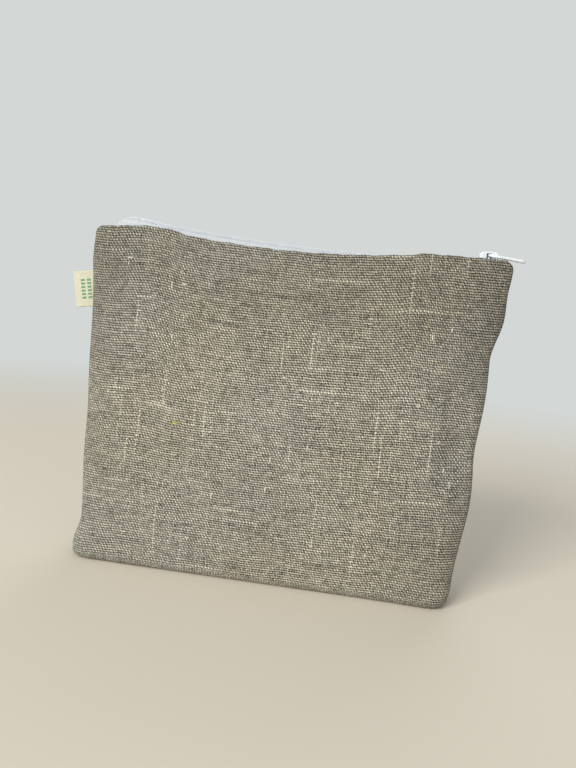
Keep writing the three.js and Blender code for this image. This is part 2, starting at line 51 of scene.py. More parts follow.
bl_info = {
    "name": "Linen zip pouch",
    "version": (1, 0, 0),
    "blender": (4, 5, 0),
    "location": "View3D > Sidebar > Pouch",
    "description": "Builds a lined linen pouch with a boxed base and a coil zip",
    "category": "Add Mesh",
}

MM = 0.001
FRONT_LOW, FRONT_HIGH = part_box("outer_front_panel")
TAG_LOW, TAG_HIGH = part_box("side_label")


# Sizes and colours that a user would change

class PouchSizes(bpy.types.PropertyGroup):
    """Driving sizes of the cloth and the zip"""
    height: bpy.props.FloatProperty(
        name="Height", description="Floor to the linen edge beside the zip",
        default=177.9 * MM, unit="LENGTH")
    left_top: bpy.props.FloatProperty(
        name="Left top", description="Middle to the left top corner",
        default=-FRONT_LOW[0], unit="LENGTH")
    right_top: bpy.props.FloatProperty(
        name="Right top", description="Middle to the right top corner",
        default=FRONT_HIGH[0], unit="LENGTH")
    base_depth: bpy.props.FloatProperty(
        name="Base depth", description="Boxed base, front to back",
        default=-2 * FRONT_LOW[1], unit="LENGTH")
    linen: bpy.props.FloatProperty(
        name="Linen", description="Thickness of the linen", default=0.8 * MM, unit="LENGTH")
    warp: bpy.props.FloatProperty(
        name="Warp", description="Spacing of the linen's upright threads",
        default=0.87 * MM, unit="LENGTH")
    weft: bpy.props.FloatProperty(
        name="Weft", description="Spacing of the linen's level threads",
        default=1.26 * MM, unit="LENGTH")
    coil_pitch: bpy.props.FloatProperty(
        name="Coil pitch", description="One turn of the zip coil", default=0.80 * MM, unit="LENGTH")


class PouchColours(bpy.types.PropertyGroup):
    """Colours of the cloth, zip and tag"""
    flax_light: bpy.props.FloatVectorProperty(
        name="Flax light", description="Bright fibres of the linen", subtype="COLOR",
        size=4, default=(0.78, 0.72, 0.585, 1))
    flax_dark: bpy.props.FloatVectorProperty(
        name="Flax dark", description="Dull fibres of the linen", subtype="COLOR",
        size=4, default=(0.040, 0.034, 0.026, 1))
    zip_white: bpy.props.FloatVectorProperty(
        name="Zip white", description="Tape and coil", subtype="COLOR",
        size=4, default=(0.77, 0.795, 0.84, 1))
    enamel: bpy.props.FloatVectorProperty(
        name="Enamel", description="Slider and pull tab", subtype="COLOR",
        size=4, default=(0.79, 0.83, 0.87, 1))
    tag: bpy.props.FloatVectorProperty(
        name="Tag", description="Cotton of the side tag", subtype="COLOR",
        size=4, default=(0.84, 0.82, 0.635, 1))
    tag_mark: bpy.props.FloatVectorProperty(
        name="Tag mark", description="Woven bars of the side tag", subtype="COLOR",
        size=4, default=(0.08, 0.30, 0.16, 1))


# Shape of the pouch, the same formula as its solids, in metres

# Half widths are measured from the middle, and shares of the height run from 0 at the floor
LEFT_BASE = 100.2 * MM
LEFT_KNEE = 102.5 * MM
LEFT_EAR = 3.7 * MM
RIGHT_BASE = 95.6 * MM
RIGHT_KNEE = 103.6 * MM
RIGHT_WAIST = 105.2 * MM
RIGHT_EAR = 0.5 * MM
KNEE_AT = 0.42  # share of the height where the base's flare ends
WAIST_AT = 0.66
SHOULDER = (0.73, 0.87)
EAR = (0.13, 0.03)  # shares between which the corners of the base swell
TOP_DEPTH = 16.8 * MM
CORNER_RADIUS = 5 * MM
BASE_EDGE_RADIUS = 4 * MM
EDGE_SAG = 4.8 * MM
SAG_HALF = 70 * MM
SAG_AT = 2 * MM
EDGE_RISE = 1.4 * MM
RISE_HALF = 22 * MM
RISE_FROM_LEFT = 29 * MM
SEAM_GAP = 0.3 * MM
HEM_GAP = 0.3 * MM
HEM_DEPTH = 8 * MM


def smooth(low, high, value):
    """0 at low and 1 at high, with a soft start and end"""
    t = np.clip((value - low) / (high - low), 0, 1)
    return t * t * (3 - 2 * t)


def mix(a, b, t):
    """The value a share t of the way from a to b"""
    return a + (b - a) * t


def sizes():
    """The driving sizes that the user set"""
    return bpy.context.scene.pouch_sizes


def left_half(w):
    """Half width of the left side at a share of the height"""
    side = mix(LEFT_BASE, LEFT_KNEE, smooth(0, KNEE_AT, w))
    return side + (sizes().left_top - LEFT_KNEE) * w + LEFT_EAR * smooth(*EAR, w)


def right_half(w):
    """Half width of the right side, which is waisted, at a share of the height"""
    rise = 1 - (1 - np.minimum(w / KNEE_AT, 1)) ** 2
    side = mix(RIGHT_BASE, RIGHT_KNEE, rise) + RIGHT_EAR * smooth(*EAR, w)
    waist = side + (RIGHT_WAIST - RIGHT_KNEE) * smooth(KNEE_AT, WAIST_AT, w)
    return waist + (sizes().right_top - RIGHT_WAIST) * smooth(*SHOULDER, w)


def half_depth(w):
    """Half of the pouch's depth at a share of the height"""
    return mix(TOP_DEPTH / 2, sizes().base_depth / 2, 1 - w ** 1.8)


def squareness(w):
    """Power of the section's rounded oblong: the higher, the squarer"""
    return 4 + 4 * (1 - w) ** 4 + 2 * smooth(0.85, 1, w)


def section(column, w):
    """A column runs from -2 at the left side seam, round the front, to 2 at the right one"""
    n = squareness(w)
    x = np.clip(column, -1, 1)
    y = np.minimum(1, 2 - np.abs(column))
    reach = (np.abs(x) ** n + y ** n) ** (-1 / n)
    return x * reach, y * reach


def edge_sag(x):
    """How far the linen edge hangs below its ends, with a low rise near the left one"""
    dip = np.maximum(0, 1 - ((x - SAG_AT) / SAG_HALF) ** 2)
    far = np.minimum(np.abs(x + sizes().left_top - RISE_FROM_LEFT) / RISE_HALF, 1)
    return EDGE_SAG * dip * smooth(0, 0.35, dip) - EDGE_RISE * (1 - far ** 2) ** 2


def edge_height(x):
    """Height of the linen edge beside the zip, rounded at the corners"""
    s = sizes()
    to_end = np.where(x < 0, s.left_top + x, s.right_top - x)
    past = np.clip(CORNER_RADIUS - to_end, 0, CORNER_RADIUS)
    drop = CORNER_RADIUS - np.sqrt(CORNER_RADIUS ** 2 - past ** 2)
    return s.height - edge_sag(x) - drop


def half_width(column, w):
    """Half width on the side that a column belongs to"""
    return np.where(column < 0, left_half(w), right_half(w))


def top_of(column):
    """Height of the linen edge at the head of each column"""
    one = np.ones_like(column)
    return edge_height(half_width(column, one) * section(column, one)[0])


def skin(column, z, inset, shrink=0.0):
    """Points of the front skin, set in from the outside by inset"""
    w = np.clip(z / top_of(column), 0, 1)
    sx, sy = section(column, w)
    x = (half_width(column, w) - inset - shrink) * sx
    y = SEAM_GAP / 2 + (half_depth(w) - inset - shrink - SEAM_GAP / 2) * sy
    return np.stack([x, -y, z + 0 * x], axis=-1)


def base_points(column, share, z, inset):
    """Points of the base plate: share 0 lies on the middle seam, 1 at the base edge"""
    level = np.full_like(column, z)
    edge = skin(column, level, inset, BASE_EDGE_RADIUS - inset)
    ridge = (LEFT_BASE + RIGHT_BASE) / 2 - sizes().base_depth / 2
    middle = np.stack([column / 2 * ridge, 0 * column - SEAM_GAP / 2, level], axis=-1)
    return middle + (edge - middle) * share


def wall_out(column, z):
    """Level directions that point out of the front wall"""
    near = 0.004
    before, after = np.clip(column - near, -2, 2), np.clip(column + near, -2, 2)
    along = skin(after, z, 0) - skin(before, z, 0)
    out = np.stack([along[..., 1], -along[..., 0], 0 * along[..., 0]], axis=-1)
    return out / np.maximum(np.linalg.norm(out, axis=-1, keepdims=True), 1e-12)


def bump(distance, width):
    """A bell: 1 at distance 0, and a third of it at the width"""
    return np.exp(-(distance / width) ** 2)


def to_segment(x, z, a, b):
    """Distance in the wall's face from a line between two points"""
    ax, az, bx, bz = a[0], a[1], b[0] - a[0], b[1] - a[1]
    share = np.clip(((x - ax) * bx + (z - az) * bz) / (bx * bx + bz * bz), 0, 1)
    return np.hypot(x - ax - share * bx, z - az - share * bz)


# Soft waves of the cloth: length across, length up, phase and depth, in metres
WAVES = [
    (0.151, 0.210, 0.4, 0.44 * MM), (0.093, 0.138, 2.1, 0.36 * MM),
    (0.061, -0.104, 4.0, 0.24 * MM), (0.047, 0.071, 1.2, 0.15 * MM),
    (0.029, -0.052, 5.1, 0.09 * MM), (0.190, -0.066, 3.3, 0.30 * MM),
]
# Creases of the front: polyline points in X and Z, half width and depth, all in mm
FRONT_CREASES = [
    ([(108, 147), (94, 124), (86, 98)], 4.2, 0.85),
    ([(111, 138), (100, 112)], 8.0, 0.6),
    ([(80, 106), (83, 92), (87, 80), (91, 66)], 4.0, 0.8),
    ([(-74, 12), (-40, 6)], 4.0, 0.25),
    ([(30, 9), (76, 5)], 4.0, 0.25),
]
BACK_CREASES = [
    ([(-96, 120), (-70, 64)], 5.0, 0.5),
    ([(62, 30), (92, 62)], 4.4, 0.45),
]
# The dent low on the right of the front
DENT_X = 93 * MM
DENT_Z = 78 * MM
DENT_RADIUS = 11 * MM
DENT_NARROW = 0.7
DENT_DEPTH = 2.3 * MM
# Where the right side turns away from the front: height, distance from the middle and depth
TURNED_RIGHT = np.array([(14, 91, 2.2), (50, 91, 2.8), (67, 89, 3.7), (82, 84, 4.6),
                         (96, 80, 4.4), (112, 77, 3.2)]) * MM
TURN_OVER = 15 * MM
TURNED_LEFT = (-84 * MM, -101 * MM)
TURNED_LEFT_DEPTH = 0.4 * MM
TURN_STARTS = (6 * MM, 20 * MM)  # heights between which the turned sides begin
TURN_ENDS = (124 * MM, 94 * MM)
# Near the linen edge, the base and the side seams, the relief fades out over these
CALM_TOP = (0.5 * MM, 16 * MM)
CALM_BASE = (0.5 * MM, 12 * MM)
CALM_SEAM = 0.35
# Bulges of the right side: height out, column, its half width, height and its half width
RIGHT_BULGES = [(1.9, 1.12, 0.42, 6, 24), (2.45, 1.28, 0.36, 50, 34)]
TOP_BULGE = (1.0, 1.2, 0.34)
TOP_BULGE_FROM = (128 * MM, 150 * MM)
# Puffed corners of the base: height out, column, its half width, height and its half width
CORNER_BULGE = (1.35, 1.03, 0.14, 3.2, 5.5)
# The seams: depth, half width and, along the stitches, how uneven the pull is
STITCH = 2.6 * MM
PUCKER = 0.28
SEAM_DEPTH = 0.62 * MM
SEAM_HALF = 1.05 * MM
BASE_SEAM_AT = 4.6 * MM
BASE_SEAM_DEPTH = 0.4 * MM
BASE_SEAM_HALF = 0.8 * MM


def relief(column, z, back):
    """How far the cloth stands out of its plain shape, all layers alike"""
    top = top_of(column)
    place = skin(column, z, 0)
    x = place[..., 0]
    turn = 2.3 if back else 0.0
    soft = 0 * x
    for across, up, phase, depth in WAVES:
        soft = soft + depth * np.sin(2 * math.pi * (x / across + z / up) + phase + turn)
    creases = 0 * x
    for points, width, depth in (BACK_CREASES if back else FRONT_CREASES):
        for a, b in zip(points, points[1:]):
            a, b = [v * MM for v in a], [v * MM for v in b]
            far = to_segment(x, z, a, b)
            creases = np.minimum(creases, -depth * MM * bump(far, width * MM))
    if not back:
        from_dent = np.hypot((x - DENT_X) / DENT_NARROW, z - DENT_Z)
        creases = creases - DENT_DEPTH * bump(from_dent, DENT_RADIUS)
    low = smooth(*TURN_STARTS, z) * smooth(*TURN_ENDS, z)
    heights, starts, depths = TURNED_RIGHT.T
    start = np.interp(z, heights, starts)
    turned = smooth(start, start + TURN_OVER, x) * np.interp(z, heights, depths)
    turned = turned + smooth(*TURNED_LEFT, x) * TURNED_LEFT_DEPTH
    creases = creases - turned * low * smooth(1.5, 1.0, np.abs(column))
    below = top - z
    calm = smooth(*CALM_TOP, below) * smooth(*CALM_BASE, z)
    calm = calm * smooth(0, CALM_SEAM, 2 - np.abs(column))
    out = (soft + creases) * calm
    rise, at, half, up, tall = CORNER_BULGE
    ears = rise * bump(np.abs(column) - at, half) * bump(z - up * MM, tall * MM)
    for rise, at, half, up, tall in RIGHT_BULGES:
        ears = ears + rise * bump(column - at, half) * bump(z - up * MM, tall * MM)
    rise, at, half = TOP_BULGE
    ears = ears + rise * bump(column - at, half) * smooth(*TOP_BULGE_FROM, z)
    return out + ears * MM


def seam_dip(column, z):
    """Inward pull of the side seam and of the short seam at each end of the base"""
    edge = skin(column, z, 0)
    to_seam = np.abs(np.abs(edge[..., 1]) - SEAM_GAP / 2)
    on_side = smooth(1.5, 1.9, np.abs(column))
    pucker = 1 + PUCKER * np.sin(2 * math.pi * z / STITCH)
    side = SEAM_DEPTH * bump(to_seam, SEAM_HALF) * on_side * pucker
    reach = smooth(1.02, 1.16, np.abs(column))
    crease = BASE_SEAM_DEPTH * bump(z - BASE_SEAM_AT, BASE_SEAM_HALF) * reach
    return side + crease


def column_line(face, end):
    """Columns from side seam to side seam, closer together round the corners"""
    half = [2 - math.cos(math.pi / 2 * k / end) for k in range(1, end + 1)]
    middle = list(np.linspace(-1, 1, face + 1))
    return np.array([-c for c in reversed(half)] + middle + half)


def arc_lengths(grid):
    """Distance along each row of a grid, from its middle column"""
    steps = np.linalg.norm(np.diff(grid, axis=1), axis=-1)
    run = np.concatenate([np.zeros((len(grid), 1)), np.cumsum(steps, axis=1)], axis=1)
    middle = grid.shape[1] // 2
    return run - run[:, middle:middle + 1]


def closed_sheet(name, near, far, uv, flip, material):
    """One closed cloth from its outer and inner grids of points"""
    rows, cols = near.shape[:2]
    points = np.concatenate([near.reshape(-1, 3), far.reshape(-1, 3)])
    flat_uv = np.concatenate([uv.reshape(-1, 2)] * 2)
    index = np.arange(rows * cols).reshape(rows, cols)
    a, b = index[:-1, :-1].ravel(), index[:-1, 1:].ravel()
    c, d = index[1:, 1:].ravel(), index[1:, :-1].ravel()
    outer = np.stack([a, b, c, d], axis=1)
    inner = np.stack([a, d, c, b], axis=1) + rows * cols
    rims = []
    loop = list(index[0, :]) + list(index[1:, -1]) + list(index[-1, -2::-1])
    loop += list(index[-2:0:-1, 0])
    for p, q in zip(loop, loop[1:] + loop[:1]):
        rims.append((q, p, p + rows * cols, q + rows * cols))
    faces = np.concatenate([outer, inner, np.array(rims)])
    if flip:
        faces = faces[:, ::-1]
    return mesh_piece(name, points, faces, flat_uv, material)


def link(name, mesh, material):
    """An object for a mesh, shaded smooth, in the scene"""
    mesh.polygons.foreach_set("use_smooth", [True] * len(mesh.polygons))
    mesh.materials.append(material)
    piece = bpy.data.objects.new(name, mesh)
    bpy.context.scene.collection.objects.link(piece)
    return piece


def side_name(back):
    """Word for a side, as it is used in the names of pieces and nodes"""
    return "back" if back else "front"


def mesh_piece(name, points, faces, uv, material):
    """A mesh object from arrays of points and equal faces"""
    mesh = bpy.data.meshes.new(name)
    faces = np.asarray(faces)
    count, sides = faces.shape
    mesh.vertices.add(len(points))
    mesh.vertices.foreach_set("co", np.asarray(points, dtype=np.float32).ravel())
    mesh.loops.add(count * sides)
    mesh.loops.foreach_set("vertex_index", faces.ravel().astype(np.int32))
    mesh.polygons.add(count)
    mesh.polygons.foreach_set("loop_start", np.arange(0, count * sides, sides, dtype=np.int32))
    layer = mesh.uv_layers.new(name="threads")
    layer.data.foreach_set("uv", uv[faces.ravel()].astype(np.float32).ravel())
    mesh.update(calc_edges=True)
    mesh.validate()
    return link(name, mesh, material)


# Shader nodes

class Graph:
    """Short ways to add and join the nodes of one tree"""

    def __init__(self, tree):
        self.tree = tree

    def node(self, kind, links=None, **settings):
        """A new node, with values or links for its sockets and with its own settings"""
        node = self.tree.nodes.new(kind)
        for key, value in settings.items():
            setattr(node, key, value)
        for key, value in (links or {}).items():
            self.feed(node.inputs[key], value)
        return node

    def feed(self, socket, value):
        """Give a socket a link, or a constant value"""
        if isinstance(value, bpy.types.NodeSocket):
            self.tree.links.new(value, socket)
        elif isinstance(value, bpy.types.Node):
            self.tree.links.new(value.outputs[0], socket)
        else:
            socket.default_value = value

    def math(self, operation, *values, clamp=False):
        """One sum, under the name that its node has for it"""
        node = self.node("ShaderNodeMath", operation=operation, use_clamp=clamp)
        for socket, value in zip(node.inputs, values):
            self.feed(socket, value)
        return node.outputs[0]

    def add(self, a, b):
        return self.math("ADD", a, b)

    def sub(self, a, b):
        return self.math("SUBTRACT", a, b)

    def mul(self, a, b):
        return self.math("MULTIPLY", a, b)

    def mul_add(self, a, b, c, clamp=False):
        """a times b, plus c"""
        return self.math("MULTIPLY_ADD", a, b, c, clamp=clamp)

    def ramp(self, value, low, high, to_low=0.0, to_high=1.0):
        """A soft step of a value from low to high"""
        return self.node("ShaderNodeMapRange", {
            "Value": value, "From Min": low, "From Max": high, "To Min": to_low,
            "To Max": to_high}, interpolation_type="SMOOTHSTEP").outputs["Result"]

    def noise(self, vector, scale, detail=2.0, rough=0.5, output="Fac"):
        return self.node("ShaderNodeTexNoise", {
            "Vector": vector, "Scale": scale, "Detail": detail,
            "Roughness": rough}, noise_dimensions="3D").outputs[output]

    def mix(self, share, a, b, blend="MIX"):
        """Two colours mixed, or blended in another way"""
        node = self.node("ShaderNodeMix", data_type="RGBA", blend_type=blend)
        self.feed(node.inputs[0], share)
        self.feed(node.inputs[6], a)
        self.feed(node.inputs[7], b)
        return node.outputs[2]

    def xyz(self, x, y, z=0.0):
        return self.node("ShaderNodeCombineXYZ", {"X": x, "Y": y, "Z": z}).outputs[0]

    def split(self, vector):
        return self.node("ShaderNodeSeparateXYZ", {"Vector": vector}).outputs[:3]

    def grey(self, value):
        return self.node("ShaderNodeCombineColor", {"Red": value, "Green": value,
                                                    "Blue": value}).outputs[0]


def group(name, inputs, outputs):
    """A node group with named sockets: its graph, what it is given and what it gives back"""
    tree = bpy.data.node_groups.new(name, "ShaderNodeTree")
    kinds = {"v": "NodeSocketVector", "f": "NodeSocketFloat", "c": "NodeSocketColor"}
    for label, (kind, value) in inputs.items():
        socket = tree.interface.new_socket(label, in_out="INPUT", socket_type=kinds[kind])
        if value is not None:
            socket.default_value = value
    for label, kind in outputs.items():
        tree.interface.new_socket(label, in_out="OUTPUT", socket_type=kinds[kind])
    graph = Graph(tree)
    given = graph.node("NodeGroupInput").outputs
    ends = graph.node("NodeGroupOutput").inputs
    return graph, given, ends


# The weave: how often its parts change, per metre
DRIFT_SCALE = 28.0
SLIP_SCALE = 240.0
PATCH_SCALE = 21.0
THICK_SCALE = 20.0
SLUB_SCALE = 34.0
TONE_SCALE = 210.0
LUMP_SCALE = 420.0
FIBRE_SCALES = (14000.0, 1500.0)  # across and along a thread
# How far threads wander from their places, slowly and from one thread to the next
DRIFT = 2.6 * MM
SLIP = 0.55 * MM
# A thread's width and tone. The few thick ones are where its slow noise is high
THREAD_WIDTH = 0.86
THREAD_UNEVEN = 0.6
THICK_FROM = (0.655, 0.78)
THICK_WIDTH = 0.2
DARK_FROM = (0.40, 0.28)
DARK_AMOUNT = 0.2
TONE_CONTRAST = 2.1
TONE_BASE = 0.70
NUB_FROM = (0.74, 0.80)
NUB_AMOUNT = 0.4
FIBRE_AMOUNT = 0.8
# A thread's height: how far it rises over the next, and how it slants with its twist
OVER = 0.62
WARP_SLANT = -0.2
WEFT_SLANT = 0.3
WARP_DIP = 0.55
THICK_RISE = (0.5, 0.2)  # of warp and weft
# Painted shade: the colour is darkened where the weave lies low, in the gaps between threads and,
# by the warp's dip, between the rows
SHADE_FROM = (-0.55, 0.44)
SHADE_POWER = 1.25


def weave_group():
    """Plain weave of uneven threads, from a vector that holds metres along both threads"""
    g, given, ends = group("Plain weave", {
        "Vector": ("v", None), "Warp": ("f", 0.001), "Weft": ("f", 0.001),
        "Light": ("c", (1, 1, 1, 1)), "Dark": ("c", (0.3, 0.3, 0.3, 1)),
        "Uneven": ("f", 1.0), "Gap": ("f", 0.45), "Wander": ("f", 1.0), "Cross": ("f", 0.0),
    }, {"Color": "c", "Height": "f", "Roughness": "f"})
    place = given["Vector"]
    drift = g.noise(place, DRIFT_SCALE, 2.0, output="Color")
    slip = g.noise(place, SLIP_SCALE, 1.0, output="Color")
    dx, dy, _ = g.split(drift)
    ex, ey, _ = g.split(slip)
    u, v, _ = g.split(place)

    def moved(along, slow, fast):
        """A place in metres, moved a little by both noises"""
        slow = g.mul(g.sub(slow, 0.5), DRIFT)
        fast = g.mul(g.sub(fast, 0.5), SLIP)
        both = g.mul(g.add(slow, fast), given["Wander"])
        return g.add(along, both)

    u, v = moved(u, dx, ex), moved(v, dy, ey)
    su, sv = g.math("DIVIDE", u, given["Warp"]), g.math("DIVIDE", v, given["Weft"])
    iu, iv = g.math("FLOOR", su), g.math("FLOOR", sv)
    fu = g.sub(g.sub(su, iu), 0.5)
    fv = g.sub(g.sub(sv, iv), 0.5)
    patch = g.sub(g.noise(place, PATCH_SCALE, 2.0), 0.5)

    def thread(cell, along, across, salt, lean, pale):
        """Width, tone and thickness of one thread as it runs"""
        seed = g.mul(cell, 7.31 + salt)

        def run(scale, more, detail, rough=0.5):
            """Noise along the thread, with its own seed"""
            way = g.mul(along, scale)
            return g.noise(g.xyz(seed, way, salt + more), 1.0, detail, rough)

        whole = run(THICK_SCALE, 5, 1.0)
        tone = run(TONE_SCALE, 0, 3.0, 0.65)
        slub = run(SLUB_SCALE, 9, 1.0)
        lumps = run(LUMP_SCALE, 3, 2.0)
        hair = g.xyz(g.mul(across, FIBRE_SCALES[0]), g.mul(along, FIBRE_SCALES[1]), salt)
        fibre = g.noise(hair, 1.0, 2.0)
        uneven = g.add(g.sub(slub, 0.5), g.sub(lumps, 0.5))
        spread = g.mul(uneven, given["Uneven"])
        side_lean = g.mul_add(patch, 0.5, given["Cross"])
        width = g.mul_add(side_lean, lean, g.mul_add(spread, THREAD_UNEVEN, THREAD_WIDTH))
        thick = g.ramp(whole, *THICK_FROM)
        width = g.mul_add(thick, THICK_WIDTH, width)
        streak = g.sub(g.mul(thick, pale), g.ramp(whole, *DARK_FROM, 0.0, DARK_AMOUNT))
        change = g.add(g.mul(g.sub(tone, 0.5), TONE_CONTRAST), streak)
        shade = g.add(g.mul(change, given["Uneven"]),
                      g.mul_add(side_lean, lean * 0.5, TONE_BASE))
        nub = g.mul(g.ramp(slub, *NUB_FROM), NUB_AMOUNT)
        fine = g.mul(g.sub(fibre, 0.5), given["Uneven"])
        tone = g.mul_add(fine, FIBRE_AMOUNT, g.add(shade, nub), clamp=True)
        return width, tone, thick

    wu, tone_u, thick_u = thread(iu, v, u, 1.7, -1.0, 0.5)
    wv, tone_v, thick_v = thread(iv, u, v, 23.9, 1.0, 0.4)
    side = g.math("MODULO", g.math("ABSOLUTE", g.add(iu, iv)), 2.0)
    side = g.sub(g.mul(side, 2.0), 1.0)

    def raised(offset, width, along, sign, slant, dip):
        """Height of one thread: slanted by its twist, and lower where it goes under the next"""
        offset = g.mul_add(along, slant, offset)
        part = g.math("DIVIDE", g.mul(offset, 2.0), width)
        inner = g.sub(1.0, g.mul(part, part))
        round_top = g.math("SQRT", g.math("MAXIMUM", inner, 0.0))
        over = g.math("COSINE", g.mul(along, math.pi))
        lift = g.mul(g.mul(over, sign), OVER)
        low = g.mul(g.mul(along, along), 4 * dip)
        return g.sub(g.add(g.sub(round_top, 1.0), lift), low)

    lead = g.mul(given["Cross"], 0.7)
    hu = g.sub(raised(fu, wu, fv, side, WARP_SLANT, WARP_DIP), lead)
    other = g.mul(side, -1.0)
    hv = g.add(raised(fv, wv, fu, other, WEFT_SLANT, 0.0), lead)
    hu = g.mul_add(thick_u, THICK_RISE[0], hu)
    hv = g.mul_add(thick_v, THICK_RISE[1], hv)
    height = g.math("MAXIMUM", hu, hv)
    front = g.math("GREATER_THAN", hu, hv)
    warp = g.mix(tone_u, given["Dark"], given["Light"])
    weft = g.mix(tone_v, given["Dark"], given["Light"])
    cloth = g.mix(front, weft, warp)
    # Painted shade: low places of the weave darken its colour, by as much as the Gap share
    shade = g.math("POWER", g.ramp(height, *SHADE_FROM), SHADE_POWER)
    lowest = g.sub(1.0, given["Gap"])
    depth = g.mul_add(shade, given["Gap"], lowest)
    g.feed(ends["Color"], g.mix(1.0, cloth, g.grey(depth), "MULTIPLY"))
    g.feed(ends["Height"], height)
    g.feed(ends["Roughness"], g.mul_add(shade, -0.12, 0.95))
    return g.tree


def mottle_group():
    """Large soft differences of tone and hue"""
    g, given, ends = group("Mottle", {
        "Color": ("c", (1, 1, 1, 1)), "Scale": ("f", 30.0), "Amount": ("f", 0.1),
        "Warm": ("c", (1, 1, 1, 1)), "Cool": ("c", (1, 1, 1, 1)),
    }, {"Color": "c"})
    place = g.node("ShaderNodeTexCoord").outputs["Object"]
    wide = g.noise(place, given["Scale"], 3.0)
    tone = g.mul_add(g.sub(wide, 0.5), given["Amount"], 1.0)
    drift = g.noise(place, g.mul(given["Scale"], 0.6), 2.0)
    hue = g.mix(g.ramp(drift, 0.35, 0.65), given["Cool"], given["Warm"])
    plain = g.mix(1.0, given["Color"], g.grey(tone), "MULTIPLY")
    g.feed(ends["Color"], g.mix(1.0, plain, hue, "MULTIPLY"))
    return g.tree


# Heights and distances from the middle between which the painted shade sets in
PAINTED_SHADE_TOP = (0.085, 0.178)
PAINTED_SHADE_SIDES = (0.045, 0.108)
PAINTED_SHADE_BLOT = 0.05


def painted_shade_group():
    """Painted shade: the cloth's colour a little darker towards the zip and the side seams"""
    g, given, ends = group("Painted shade", {
        "Color": ("c", (1, 1, 1, 1)), "Top": ("f", 0.2), "Sides": ("f", 0.1),
    }, {"Color": "c"})
    place = g.node("ShaderNodeTexCoord").outputs["Object"]
    x, _, z = g.split(place)
    blot = g.sub(g.noise(place, 16.0, 2.0), 0.5)
    blot = g.mul(blot, PAINTED_SHADE_BLOT)
    high = g.ramp(g.add(z, blot), *PAINTED_SHADE_TOP)
    side = g.ramp(g.add(g.math("ABSOLUTE", x), blot), *PAINTED_SHADE_SIDES)
    kept = g.mul(g.sub(1.0, g.mul(high, given["Top"])),
                 g.sub(1.0, g.mul(side, given["Sides"])))
    g.feed(ends["Color"], g.mix(1.0, given["Color"], g.grey(kept), "MULTIPLY"))
    return g.tree


def wear_group():
    """Rubbed edges and fine scratches of enamelled metal"""
    g, given, ends = group("Wear", {
        "Coat": ("c", (1, 1, 1, 1)), "Metal": ("c", (0.55, 0.54, 0.52, 1)),
        "Worn": ("f", 0.4),
    }, {"Color": "c", "Height": "f", "Roughness": "f", "Bare": "f"})
    place = g.node("ShaderNodeTexCoord").outputs["Object"]
    blot = g.noise(place, 900.0, 4.0, 0.6)
    scratch = g.noise(g.node("ShaderNodeMapping", {
        "Vector": place, "Scale": (300.0, 2600.0, 2600.0)}).outputs[0], 1.0, 2.0)
    point = g.node("ShaderNodeNewGeometry").outputs["Pointiness"]
    edge = g.ramp(g.mul_add(blot, 0.12, point), 0.585, 0.64)
    bare = g.mul(edge, given["Worn"])
    dull = g.ramp(blot, 0.35, 0.75, 0.93, 1.04)
    coat = g.mix(1.0, given["Coat"], g.grey(dull), "MULTIPLY")
    g.feed(ends["Color"], g.mix(bare, coat, given["Metal"]))
    g.feed(ends["Height"], g.add(blot, g.mul(scratch, 0.6)))
    g.feed(ends["Roughness"], g.ramp(scratch, 0.3, 0.75, 0.26, 0.44))
    g.feed(ends["Bare"], bare)
    return g.tree


def shader(name, plain_colour=None):
    """A new material, its graph and its main shader, with a colour for the plain viewport"""
    material = bpy.data.materials.new(name)
    material.use_nodes = True
    g = Graph(material.node_tree)
    bsdf = material.node_tree.nodes["Principled BSDF"]
    if plain_colour:
        material.diffuse_color = plain_colour
    return material, g, bsdf


def use(g, name, **links):
    """A node of one of the groups, fed by the names of its sockets"""
    node = g.node("ShaderNodeGroup", node_tree=bpy.data.node_groups[name])
    for key, value in links.items():
        g.feed(node.inputs[key.replace("_", " ")], value)
    return node


# In a cloth material, gap is the share of painted shade in the low places between threads
def cloth_material(name, warp, weft, light, dark, relief_depth, uneven=1.0, gap=0.45,
                   wander=1.0, mottle=0.12, sheen=0.15, cross=0.0, painted_shade=(0.0, 0.0),
                   warm=(1, 1, 1, 1), cool=(1, 1, 1, 1)):
    """A woven cloth whose threads follow the map of metres on the mesh"""
    _, g, bsdf = shader(name, light)
    place = g.node("ShaderNodeUVMap", uv_map="threads").outputs[0]
    weave = use(g, "Plain weave", Vector=place, Warp=warp, Weft=weft, Light=light,
                Dark=dark, Uneven=uneven, Gap=gap, Wander=wander, Cross=cross)
    tone = use(g, "Mottle", Color=weave.outputs["Color"], Scale=26.0, Amount=mottle,
               Warm=warm, Cool=cool)
    # Painted shade: the colour darkens towards the zip and the side seams
    if any(painted_shade):
        tone = use(g, "Painted shade", Color=tone.outputs[0], Top=painted_shade[0], Sides=painted_shade[1])
    raised = g.node("ShaderNodeBump", {"Strength": 1.0, "Distance": relief_depth,
                                       "Height": weave.outputs["Height"]})
    g.feed(bsdf.inputs["Base Color"], tone.outputs[0])
    g.feed(bsdf.inputs["Roughness"], weave.outputs["Roughness"])
    g.feed(bsdf.inputs["Normal"], raised.outputs[0])
    bsdf.inputs["Specular IOR Level"].default_value = 0.12
    bsdf.inputs["Sheen Weight"].default_value = sheen
    bsdf.inputs["Sheen Roughness"].default_value = 0.5


# Cloth of the pouch

